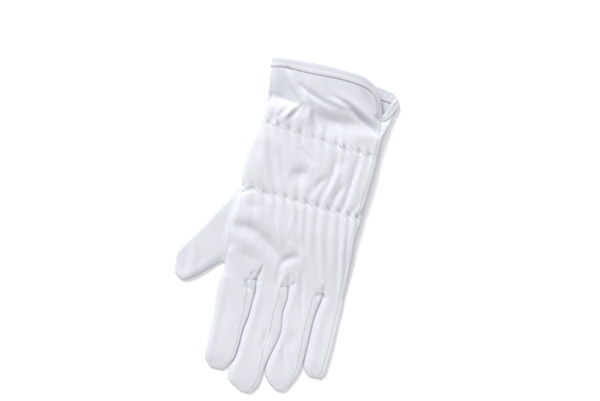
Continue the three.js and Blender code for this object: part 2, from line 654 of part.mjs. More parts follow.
const glove = new THREE.Group();
const facesOf = (piece) => skin.faces.filter((face) => face.piece === piece);
const CLOTH_PIECES = [
  { name: 'back_panel', edgeBack: EDGE_BACK.panel },
  { name: 'palm_panel', edgeBack: EDGE_BACK.panel },
  { name: 'fourchette_index_middle', edgeBack: EDGE_BACK.fourchette },
  { name: 'fourchette_middle_ring', edgeBack: EDGE_BACK.fourchette },
  { name: 'fourchette_ring_little', edgeBack: EDGE_BACK.fourchette },
  { name: 'thumb', edgeBack: EDGE_BACK.thumb },
];
for (const { name, edgeBack } of CLOTH_PIECES) {
  glove.add(makeMesh(name, thicken(facesOf(name), normals, 0, CLOTH, edgeBack), 'cloth'));
}
const hemFaces = facesOf('cuff_hem');
const hemWall = thicken(hemFaces, normals, -HEM.proud, HEM.deep, EDGE_BACK.hem);
glove.add(makeMesh('cuff_hem', hemWall, 'hem'));
for (const [name, rowY] of [['elastic_wrist', WRIST_ELASTIC_Y], ['elastic_cuff', CUFF_ELASTIC_Y]]) {
  const band = thicken(elasticFaces(bodyRows, rowY), normals, ELASTIC.near, ELASTIC.far, 0);
  glove.add(makeMesh(name, band, 'elastic'));
}

// Stands the glove on the origin, in the middle of its length and width.
const box = new THREE.Box3().setFromObject(glove);
const centre = box.getCenter(new THREE.Vector3());
for (const mesh of glove.children) {
  mesh.geometry.translate(-centre.x, -centre.y, -box.min.z);
}

export default glove;
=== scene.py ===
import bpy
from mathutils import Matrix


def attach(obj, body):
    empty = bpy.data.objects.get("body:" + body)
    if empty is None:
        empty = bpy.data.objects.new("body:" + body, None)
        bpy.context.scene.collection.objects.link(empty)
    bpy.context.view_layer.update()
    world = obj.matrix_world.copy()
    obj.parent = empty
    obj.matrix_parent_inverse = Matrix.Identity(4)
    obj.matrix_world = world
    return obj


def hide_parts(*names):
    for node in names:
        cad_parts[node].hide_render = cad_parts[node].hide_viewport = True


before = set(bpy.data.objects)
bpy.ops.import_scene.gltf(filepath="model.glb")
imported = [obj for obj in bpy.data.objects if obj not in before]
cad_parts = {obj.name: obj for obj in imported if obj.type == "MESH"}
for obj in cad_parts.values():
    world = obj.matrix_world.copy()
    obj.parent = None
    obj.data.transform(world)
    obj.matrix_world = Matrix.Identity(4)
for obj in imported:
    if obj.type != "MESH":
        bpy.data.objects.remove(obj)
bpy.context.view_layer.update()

import math

import bpy
import numpy as np
from mathutils import Vector, kdtree
from mathutils.bvhtree import BVHTree

# The pattern is in millimetres: +X across the hand to the little finger, +Y to the cuff, +Z up.
# The frame's origin lies at this place in it.
PATTERN_CENTRE = np.array([-16.987, -6.306, 0.0])
METRES = 0.001

# Thickness of the cloth, and how far the edge of a piece stays back from its seam.
CLOTH = 0.85
SEAM_BACK = 0.014

# A section's edges lie at this share of its height. Above, the crown is squarer at either hand
# the higher its power is. Below, the section curves down to the floor over a distance.
SIDE_SHARE = 0.42
CROWN_POWERS = {
    "hand": {"left": 8, "right": 30},
    "finger": {"left": 11, "right": 20},
    "thumb": {"left": 20, "right": 10},
}
FLOOR_ROUND = 4.5

# Lying cloth is flatter than the heights in the tables. It has these shares of them, and the
# hand's share grows from the knuckles over a distance.
FINGER_FLATNESS = 0.5
THUMB_FLATNESS = 0.52
HAND_FLATNESS = {"knuckles": 0.52, "hand": 0.86, "over": 52}

# The fingers lean sideways by this much for each millimetre above the level. They start to at
# this y, and lean in full over a distance.
SHINGLE = {"lean": 0.45, "start": -46, "over": 12, "level": 3}

# The dip at each crotch between two fingers: its depth and its half widths.
CROTCH = {"y": -50, "drop": 1.1, "across": 2.2, "along": 3.5}

# The thumb's slot in the left fold. The palm moves inwards along it by up to the bulge, and the
# back rises over it, less and less over the reach.
THUMB_HOLE = {"start": -43, "end": 16.5, "bulge": 16, "rise": 2.6, "reach": 5}

# The two rows of elastic, each with its y at x 0 and its slope across the glove.
WRIST_ELASTIC = {"y": 18.5, "lean": -0.055}
CUFF_ELASTIC = {"y": 70.5, "lean": -0.09}
# The tapes inside them: half the width, and the depth of both faces below the cloth's inside.
TAPE = {"half": 2.0, "outside": 0.3, "inside": 1}

# Rows of the control mesh in the cuff and in its hem band, with the knit's length for each of
# them and for each row of the thumb.
CUFF_STEPS = 5
HEM_STEPS = 3
CUFF_ROW_LENGTH = 7
THUMB_ROW_LENGTH = 6

# Rounds in which the control mesh is moved until its smooth skin meets the pattern, and the
# share of what is missing that each round adds in x, y and z.
FITTING = {"rounds": 6, "shares": [0.8, 0.8, 0.3]}

PIECES = [
    "back_panel",
    "palm_panel",
    "fourchette_index_middle",
    "fourchette_middle_ring",
    "fourchette_ring_little",
    "thumb",
    "cuff_hem",
]
GUSSETS = PIECES[2:5]


def table(columns, rows):
    """A short table: one record with named columns for each row."""
    names = columns.split()
    return [dict(zip(names, row)) for row in rows]


BODY_ROWS = table("y lean left right height", [
    (-50, 0, -52, 48, 9.8),
    (-43, 0, -52, 48, 11),
    (-36, 0, -52.2, 48, 11.6),
    (-28, 0, -52.6, 48, 12),
    (-20, 0, -53.5, 48, 12.2),
    (-11, 0, -54.4, 47.6, 12.4),
    (-2, 0, -54.5, 47, 12.4),
    (6, -0.02, -54.2, 47.6, 12),
    (12, -0.04, -54, 48, 11.8),
    (16.5, -0.055, -53.6, 48, 11.2),
    (20.5, -0.055, -53.5, 48, 11.2),
    (26, -0.06, -54.4, 48.3, 12.2),
    (34, -0.07, -55, 48.8, 12.6),
    (43, -0.08, -54.2, 49.4, 13),
    (52, -0.09, -52.8, 49.8, 12.8),
    (61, -0.09, -51, 50, 12),
    (68.5, -0.09, -49.4, 50.2, 11.4),
    (72.5, -0.09, -49, 50.2, 11.4),
    (78, -0.07, -48.6, 50, 12),
    (85, -0.04, -48.4, 50.2, 13.2),
])

# The mouth once round, by turn: the back from the left fold, the dent, the corner, the palm.
# m is the mouth's edge, h the line under the hem band.
MOUTH = table("turn mx my mz hx hy hz", [
    (0, -51.5, 126, 3.6, -51, 118.5, 3.6),
    (0.05, -48.5, 126.8, 7.4, -48, 119, 7.8),
    (0.12, -40, 127.3, 10, -40, 120.4, 10.5),
    (0.32, -20, 128.4, 13, -20, 119.8, 13.5),
    (0.56, 5, 128.3, 14, 5, 120.5, 14.5),
    (0.7, 22, 126.5, 13.5, 21, 119.3, 14),
    (0.8, 33, 121.8, 10.4, 32, 116.2, 11),
    (0.87, 39, 115, 7.8, 37.5, 110, 8.8),
    (0.92, 42.3, 107.5, 6, 41, 102.6, 7.2),
    (0.955, 45, 100.5, 5.2, 45.2, 95.2, 6),
    (0.98, 48.2, 106.5, 5.8, 51.2, 99.8, 5.6),
    (1, 51, 113, 5.4, 54.6, 107.4, 4.8),
    (1.02, 53.6, 117.4, 3.2, 56, 111.4, 2.8),
    (1.045, 50.6, 119, 1.2, 52.6, 111.4, 1),
    (1.175, 38, 121.8, 1.1, 38, 113, 0.9),
    (1.46, 4, 125.2, 1.1, 4, 117, 0.9),
    (1.725, -24, 125.5, 1.1, -24, 117.5, 0.9),
    (1.955, -47.5, 124.4, 1.2, -47, 116.8, 1),
])

# Each finger's lane of the hand, by turn, with its columns on the back and on the palm. The palm
# wraps round the right side up to the side seam.
SIDE_SEAM = 0.955
SIDE_WRAP = [0.985, 1, 1.015, 1.045]
LANES = [
    {"finger": "index", "start": 0, "end": 0.275, "back": 6, "palm": 4},
    {"finger": "middle", "start": 0.275, "end": 0.54, "back": 5, "palm": 3},
    {"finger": "ring", "start": 0.54, "end": 0.825, "back": 5, "palm": 3},
    {"finger": "little", "start": 0.825, "end": SIDE_SEAM, "back": 3, "palm": 2},
]
# Powers that crowd the columns towards the left side of the hand and of each finger.
LEFT_EASE = 1.45
FINGER_EASE = 1.25

# Width of the gusset strip that shows beside each finger, from its root to its tip.
GUSSET_SHOWS = table("y index middle ring", [
    (-53.5, 7, 7, 6.5),
    (-70, 6, 7, 5.2),
    (-85, 4, 8.4, 5.4),
    (-100, 2.8, 8, 4.8),
    (-112, 2.8, 5, 3.6),
    (-122, 2.8, 3.2, 2.8),
])
# How far the little finger's seam lies inside its outer edge.
LITTLE_SEAM_IN = 4
# A gusset's columns, by distance from the finger's side: the shoulder on top, and flank, heel and
# foot below. The foot takes at most this share of the width.
GUSSET = {"shoulder": 0.75, "flank": 1, "heel": 2.8, "foot": 4.4, "most_of_width": 0.36}

FINGERS = {
    "index": table("y left right height", [
        (-53.5, -52.6, -25, 9.8),
        (-60, -53.4, -23.6, 9.4),
        (-70, -53, -24, 9),
        (-80, -52.2, -24.1, 8.8),
        (-90, -51.8, -25.7, 8.8),
        (-100, -51.6, -26.1, 8.8),
        (-109, -51.6, -26.6, 8.8),
        (-117, -51.4, -27.7, 8.4),
        (-122.5, -49.6, -30.6, 6.6),
        (-127.4, -44, -33.4, 4.4),
    ]),
    "middle": table("y left right height", [
        (-53.5, -23.8, 1.6, 9.8),
        (-60, -23.1, 2.8, 9.4),
        (-70, -23.5, 1.7, 9),
        (-80, -23.6, 2.8, 8.8),
        (-90, -25.2, 3.4, 8.8),
        (-100, -25.6, 1.4, 8.8),
        (-109, -26.1, -0.6, 8.8),
        (-117, -27.2, -2, 8.8),
        (-125, -29.4, -2.5, 8.4),
        (-133, -28.2, -3.4, 7.2),
        (-137.5, -23, -5.6, 5.6),
        (-140.8, -16.5, -8.5, 4.4),
    ]),
    "ring": table("y left right height", [
        (-53.5, 2.8, 29.8, 9.8),
        (-60, 3.3, 28.8, 9.4),
        (-70, 2.2, 27.4, 9),
        (-80, 3.3, 27.3, 8.8),
        (-90, 3.9, 27.3, 8.8),
        (-100, 1.9, 27.3, 8.8),
        (-109, -0.1, 27, 8.8),
        (-117, -1.2, 25.8, 8.6),
        (-125, 0.8, 22.4, 7.8),
        (-130.5, 6, 20.2, 6.2),
        (-133.8, 10.5, 17, 4.4),
    ]),
    "little": table("y left right height", [
        (-53.5, 31, 48, 9.6),
        (-60, 29.3, 48, 9),
        (-70, 27.9, 48, 8.6),
        (-80, 27.8, 48, 8.4),
        (-90, 27.8, 48, 8.4),
        (-100, 27.8, 47.6, 8.4),
        (-107.5, 28.2, 47.2, 8),
        (-113, 30.2, 47, 6.4),
        (-117, 34.5, 44.8, 4.4),
    ]),
}

THUMB_ROWS = table("ax ay bx by height", [
    (-58.6, 12.5, -56, -44.6, 7.8),
    (-62.8, 6.4, -59, -47.6, 8.3),
    (-67, 0, -62, -50.4, 8.6),
    (-71, -7, -65, -53.5, 9.2),
    (-75, -14, -68, -56.4, 9.4),
    (-79, -20.6, -71.3, -59.2, 9.4),
    (-83, -27, -74.5, -61.4, 9),
    (-86.1, -32.4, -77.2, -63, 8.6),
    (-89.8, -38.4, -79.5, -64.2, 8),
    (-91.6, -42.6, -83.6, -64.2, 6.4),
    (-91.2, -48.6, -88.6, -60.4, 4.4),
])


class Skin:
    """The glove's whole surface as a coarse control mesh whose pieces share their vertices."""

    def __init__(self):
        self.points = []
        self.faces = []
        self.pieces = []
        self.uvs = []

    def add(self, point):
        self.points.append(np.array(point, float))
        return len(self.points) - 1

    def add_turn(self, section, turn):
        """A new vertex at a turn of a section."""
        return self.add(section_point(section, turn))

    def along(self, row):
        """Length along a row of vertices, from its first one."""
        points = np.array([self.points[vertex] for vertex in row])
        steps = np.linalg.norm(np.diff(points, axis=0), axis=1)
        return np.concatenate([[0], np.cumsum(steps)])

    def join(self, lower, upper, piece, low_v, high_v, start_u=0):
        """Skins the strip between two rows. The knit's u counts along them and its v across."""
        low_u = self.along(lower) + start_u
        high_u = self.along(upper) + start_u
        for i in range(len(lower) - 1):
            self.faces.append([lower[i], lower[i + 1], upper[i + 1], upper[i]])
            self.pieces.append(piece)
            self.uvs.append([
                (low_u[i], low_v), (low_u[i + 1], low_v),
                (high_u[i + 1], high_v), (high_u[i], high_v),
            ])

    def close(self, top, bottom, piece):
        """Closes an end between its upper and lower lines, which share their two end vertices."""
        reach = self.points[top[0]]
        upper = 0
        lower = 0
        while upper < len(top) - 1 or lower < len(bottom) - 1:
            next_top = distance(self.points, top, upper + 1, reach)
            next_bottom = distance(self.points, bottom, lower + 1, reach)
            step_top = next_top < next_bottom
            vertex = top[upper + 1] if step_top else bottom[lower + 1]
            corners = [bottom[lower], vertex, top[upper]]
            if len(set(corners)) == 3:
                self.faces.append(corners)
                self.pieces.append(piece)
                self.uvs.append([(self.points[c][0], self.points[c][2]) for c in corners])
            if step_top:
                upper += 1
            else:
                lower += 1


def distance(points, line, index, origin):
    if index >= len(line):
        return math.inf
    return float(np.linalg.norm(points[line[index]] - origin))


def rising(values, start, over):
    """0 up to the start, then growing to 1. A negative distance makes it grow downwards."""
    return np.clip((values - start) / over, 0, 1)


def eased(share):
    """The share with a soft start and end."""
    return share * share * (3 - 2 * share)


def crown(across, power):
    """Share of the full height at a place across a section, 0 at its left edge and 1 at its right."""
    return np.sqrt(np.clip(1 - np.abs(2 * across - 1) ** power, 0, 1))


def section_point(section, turn):
    """A point of a flattened section: turn 0 to 1 over the top and 1 to 2 back along the floor."""
    width = section["right"] - section["left"]
    across = turn if turn <= 1 else 2 - turn
    side = SIDE_SHARE * section["height"]
    x = section["left"] + across * width
    y = section["y"] + section.get("lean", 0) * x
    if turn <= 1:
        power = CROWN_POWERS[section.get("crown", "hand")]["left" if across < 0.5 else "right"]
        return np.array([x, y, side + (section["height"] - side) * crown(across, power)])
    from_edge = min(across, 1 - across) * width
    return np.array([x, y, side * max(0, 1 - from_edge / FLOOR_ROUND) ** 2])


def crotch_drop(x, y, section):
    drop = 0
    for lane in LANES[1:]:
        crotch_x = section["left"] + lane["start"] * (section["right"] - section["left"])
        across = (x - crotch_x) / CROTCH["across"]
        along = (y - CROTCH["y"]) / CROTCH["along"]
        drop += CROTCH["drop"] * math.exp(-across ** 2 - along ** 2)
    return drop


def body_columns():
    """Turns of the body's columns: the back from the left fold to the side seam, the palm home."""
    back = [0]
    for lane in LANES:
        for step in range(1, lane["back"] + 1):
            share = (step / lane["back"]) ** (LEFT_EASE if lane["start"] == 0 else 1)
            back.append(lane["start"] + (lane["end"] - lane["start"]) * share)
    palm = [SIDE_SEAM, *SIDE_WRAP]
    for lane in reversed(LANES):
        for step in range(1, lane["palm"] + 1):
            share = (1 - step / lane["palm"]) ** (LEFT_EASE if lane["start"] == 0 else 1)
            palm.append(2 - (lane["start"] + (lane["end"] - lane["start"]) * share))
    return back, palm


def is_thumb_row(row):
    return THUMB_HOLE["start"] < row["y"] < THUMB_HOLE["end"]


def thumb_share(row):
    """0 at both ends of the thumb's slot and 1 in its middle."""
    if not is_thumb_row(row):
        return 0
    span = THUMB_HOLE["end"] - THUMB_HOLE["start"]
    return math.sin(math.pi * (row["y"] - THUMB_HOLE["start"]) / span)


def body_point(row, turn, on_back):
    point = section_point(row, turn)
    across = turn if turn <= 1 else 2 - turn
    if on_back:
        rise = THUMB_HOLE["rise"] * math.exp((row["left"] - point[0]) / THUMB_HOLE["reach"])
        point[2] += rise * thumb_share(row) - crotch_drop(point[0], point[1], row)
    elif is_thumb_row(row) and turn >= 2 - LANES[0]["end"]:
        point[0] += THUMB_HOLE["bulge"] * thumb_share(row) * (1 - across / LANES[0]["end"])
        point[2] = 0
    return point


def spline(points, closed_at):
    """A closed Catmull-Rom curve through points, read at a share of its rows."""
    index = int(math.floor(closed_at))
    share = closed_at - index
    count = len(points)
    before, start, end, after = (points[(index + k) % count] for k in (-1, 0, 1, 2))
    return 0.5 * (
        2 * start
        + (end - before) * share
        + (2 * before - 5 * start + 4 * end - after) * share ** 2
        + (3 * start - before - 3 * end + after) * share ** 3
    )


def mouth_point(turn, letter):
    """A point of the mouth's edge (m) or of the line under the hem (h)."""
    turns = [row["turn"] for row in MOUTH] + [2]
    points = [np.array([row[letter + axis] for axis in "xyz"]) for row in MOUTH]
    return spline(points, np.interp(turn % 2, turns, range(len(turns))))


def flattened_rows():
    """The rows of hand and cuff. Lying cloth is flatter than the glove is high, most at the knuckles."""
    rows = []
    for row in BODY_ROWS:
        share = min(1, (row["y"] - CROTCH["y"]) / HAND_FLATNESS["over"])
        low = HAND_FLATNESS["knuckles"]
        flatness = low + (HAND_FLATNESS["hand"] - low) * eased(share)
        rows.append({**row, "height": row["height"] * flatness})
    return rows


def cuff_point(start, step, turn):
    """A point of the cuff's rows: from its start to the line under the hem, then to the edge."""
    if step <= CUFF_STEPS:
        share = step / CUFF_STEPS
        return section_point(start, turn) * (1 - share) + mouth_point(turn, "h") * share
    share = (step - CUFF_STEPS) / HEM_STEPS
    return mouth_point(turn, "h") * (1 - share) + mouth_point(turn, "m") * share


def build_body(skin):
    """Rows of vertices for hand and cuff. At the thumb the palm's left end has its own vertices."""
    back_turns, palm_turns = body_columns()
    body_rows = flattened_rows()
    rows = []
    for row in body_rows:
        back = [skin.add(body_point(row, turn, True)) for turn in back_turns]
        palm = [back[-1]]
        palm += [skin.add(body_point(row, turn, False)) for turn in palm_turns[1:-1]]
        ends_at_thumb = is_thumb_row(row)
        palm.append(skin.add(body_point(row, 2, False)) if ends_at_thumb else back[0])
        rows.append({"back": back, "palm": palm, "v": row["y"]})
    start = body_rows[-1]
    for step in range(1, CUFF_STEPS + HEM_STEPS + 1):
        back = [skin.add(cuff_point(start, step, turn)) for turn in back_turns]
        palm = [skin.add(cuff_point(start, step, turn)) for turn in palm_turns[1:-1]]
        v = start["y"] + CUFF_ROW_LENGTH * step
        rows.append({"back": back, "palm": [back[-1], *palm, back[0]], "v": v})
    for index, (low, high) in enumerate(zip(rows, rows[1:])):
        is_hem = index >= len(rows) - 1 - HEM_STEPS
        for side, piece in (("back", "back_panel"), ("palm", "palm_panel")):
            name = "cuff_hem" if is_hem else piece
            skin.join(low[side], high[side], name, low["v"], high["v"])
    return rows


def gusset_shows(finger, y):
    """Width of the gusset strip that shows beside a finger, from its root to its tip."""
    down = [-row["y"] for row in GUSSET_SHOWS]
    return float(np.interp(-y, down, [row[finger] for row in GUSSET_SHOWS]))


def finger_columns(lane, section):
    """Turns of one finger's columns. Distances from its sides shrink with the section."""
    width = section["right"] - section["left"]
    is_last = lane["finger"] == "little"
    unit = min(1 / width, GUSSET["most_of_width"] / GUSSET["foot"])
    seam_in = LITTLE_SEAM_IN if is_last else gusset_shows(lane["finger"], section["y"])
    seam = 1 - seam_in * unit
    back = [seam * (step / lane["back"]) ** FINGER_EASE for step in range(lane["back"] + 1)]
    palm_start = 1 + GUSSET["foot"] * unit
    palm_end = 2 if lane["start"] == 0 else 2 - GUSSET["foot"] * unit
    wrap = [seam, 1 - GUSSET["shoulder"] * unit, 1, 1 + GUSSET["flank"] * unit]
    palm = [*wrap, palm_start] if is_last else [palm_start]
    for step in range(1, lane["palm"] + 1):
        palm.append(palm_start + (palm_end - palm_start) * step / lane["palm"])
    right = [1 - GUSSET["shoulder"] * unit, 1]
    left = [2 - GUSSET["flank"] * unit, 2 - GUSSET["heel"] * unit]
    return back, palm, right, left


def build_finger(skin, lane, root, left_crotch, right_crotch, gussets):
    """One finger, ring by ring, from its lane of the knuckle row to its closed tip."""
    last = {**root, "left": left_crotch, "right": right_crotch, "v": CROTCH["y"]}
    owners = {
        "back": "back_panel", "palm": "palm_panel", "right": gussets[1], "left": gussets[0],
    }
    for row in FINGERS[lane["finger"]]:
        section = {**row, "height": row["height"] * FINGER_FLATNESS, "crown": "finger"}
        back_turns, palm_turns, right_turns, left_turns = finger_columns(lane, section)
        back = [skin.add_turn(section, turn) for turn in back_turns]
        palm = []
        for column, turn in enumerate(palm_turns):
            if column == 0 and not right_crotch:
                palm.append(back[-1])
            elif turn == 2:
                palm.append(back[0])
            else:
                palm.append(skin.add_turn(section, turn))
        ring = {"back": back, "palm": palm, "left": None, "right": None, "v": section["y"]}
        if right_crotch:
            between = [skin.add_turn(section, turn) for turn in right_turns]
            ring["right"] = [back[-1], *between, palm[0]]
        if left_crotch:
            between = [skin.add_turn(section, turn) for turn in reversed(left_turns)]
            ring["left"] = [palm[-1], *between, back[0]]
        for side, piece in owners.items():
            if ring[side]:
                start_u = root["start_u"].get(side, 0)
                skin.join(ring[side], last[side], piece, ring["v"], last["v"], start_u)
        last = ring
    if last["right"]:
        top = [*last["back"], *last["right"][1:3]]
        under = [last["right"][2], *last["palm"]]
    else:
        side = int(np.argmax([skin.points[vertex][0] for vertex in last["palm"]]))
        top = [*last["back"], *last["palm"][1:side + 1]]
        under = last["palm"][side:]
    if last["left"]:
        under = [*under, *last["left"][1:]]
    skin.close(top, under[::-1], "back_panel")


def crotch_line(skin, back_vertex, palm_vertex):
    """A gusset's own vertices down the crotch between two fingers."""
    high = skin.points[back_vertex]
    low = skin.points[palm_vertex]
    between = [skin.add(high + (low - high) * share) for share in (1 / 3, 2 / 3)]
    return [back_vertex, *between, palm_vertex]


def build_fingers(skin, knuckles):
    back_at = 0
    palm_at = len(knuckles["palm"]) - 1
    back_u = skin.along(knuckles["back"])
    palm_u = skin.along(knuckles["palm"])
    left_crotch = None
    for number, lane in enumerate(LANES):
        is_last = number == len(LANES) - 1
        palm_start = 0 if is_last else palm_at - lane["palm"]
        back = knuckles["back"][back_at:back_at + lane["back"] + 1]
        palm = knuckles["palm"][palm_start:palm_at + 1]
        right_crotch = None if is_last else crotch_line(skin, back[-1], palm[0])
        gussets = (GUSSETS[number - 1] if number else None, None if is_last else GUSSETS[number])
        start_u = {"back": back_u[back_at], "palm": palm_u[palm_start]}
        root = {"back": back, "palm": palm, "start_u": start_u}
        build_finger(skin, lane, root, left_crotch, right_crotch, gussets)
        back_at += lane["back"]
        palm_at = palm_start
        left_crotch = right_crotch and right_crotch[::-1]


def thumb_point(row, share, is_under):
    """A point at a share of the way from b to a of a thumb's row, on its top or its underside."""
    inner = np.array([row["bx"], row["by"], 0])
    outer = np.array([row["ax"], row["ay"], 0])
    width = np.linalg.norm(outer - inner)
    height = row["height"] * THUMB_FLATNESS
    section = {"left": 0, "right": width, "height": height, "y": 0, "crown": "thumb"}
    point = inner + (outer - inner) * share
    point[2] = section_point(section, 2 - share if is_under else share)[2]
    return point


def build_thumb(skin, rows):
    """The thumb, from the slot that back and palm leave at the left to its closed tip."""
    ys = [row["y"] for row in BODY_ROWS]
    slot = rows[ys.index(THUMB_HOLE["start"]):ys.index(THUMB_HOLE["end"]) + 1]
    span = THUMB_HOLE["end"] - THUMB_HOLE["start"]
    shares = [(row["v"] - THUMB_HOLE["start"]) / span for row in slot]
    top = [row["back"][0] for row in slot]
    under = [row["palm"][-1] for row in slot]
    travel = 0
    for row in THUMB_ROWS:
        next_top = [skin.add(thumb_point(row, share, False)) for share in shares]
        between = [skin.add(thumb_point(row, share, True)) for share in shares[1:-1]]
        next_under = [next_top[0], *between, next_top[-1]]
        reach = travel + THUMB_ROW_LENGTH
        skin.join(top, next_top, "thumb", travel, reach)
        skin.join(under[::-1], next_under[::-1], "thumb", travel, reach)
        travel = reach
        top = next_top
        under = next_under
    skin.close(top[::-1], under[::-1], "thumb")


def build_skin():
    skin = Skin()
    rows = build_body(skin)
    build_fingers(skin, rows[0])
    build_thumb(skin, rows)
    return skin


def mesh_of(name, points, faces, pieces=None, uvs=None):
    """A mesh. Where the faces' pieces are given, each face has its piece as material index."""
    mesh = bpy.data.meshes.new(name)
    mesh.from_pydata([tuple(point) for point in points], [], [tuple(face) for face in faces])
    if pieces is not None:
        for _ in PIECES:
            mesh.materials.append(None)
        mesh.polygons.foreach_set("material_index", [PIECES.index(piece) for piece in pieces])
    if uvs is not None:
        layer = mesh.uv_layers.new(name="cloth")
        layer.data.foreach_set("uv", [number for face in uvs for uv in face for number in uv])
    mesh.update()
    return mesh


def link(mesh):
    piece = bpy.data.objects.new(mesh.name, mesh)
    bpy.context.scene.collection.objects.link(piece)
    return piece


def with_modifiers(piece):
    """The piece's mesh with its modifiers applied; the piece itself is removed."""
    graph = bpy.context.evaluated_depsgraph_get()
    mesh = bpy.data.meshes.new_from_object(piece.evaluated_get(graph))
    bpy.data.objects.remove(piece)
    return mesh


def subdivided(mesh, levels):
    piece = link(mesh)
    modifier = piece.modifiers.new("smooth", "SUBSURF")
    modifier.levels = levels
    modifier.render_levels = levels
    return with_modifiers(piece)


def numbers_of(items, field, columns):
    """One row of numbers for each of a mesh's vertices or corners."""
    numbers = np.empty(len(items) * columns)
    items.foreach_get(field, numbers)
    return numbers.reshape(-1, columns)


def coordinates(mesh):
    return numbers_of(mesh.vertices, "co", 3)


def set_coordinates(mesh, points):
    mesh.vertices.foreach_set("co", np.asarray(points, float).ravel())
    mesh.update()


def normals_of(mesh):
    return numbers_of(mesh.vertex_normals, "vector", 3)


def along_normals(points, normals, lift, lowest=0):
    """The points moved along their normals by the lift, but none to below the lowest height."""
    moved = points + normals * np.reshape(lift, (-1, 1))
    moved[:, 2] = np.maximum(moved[:, 2], lowest)
    return moved


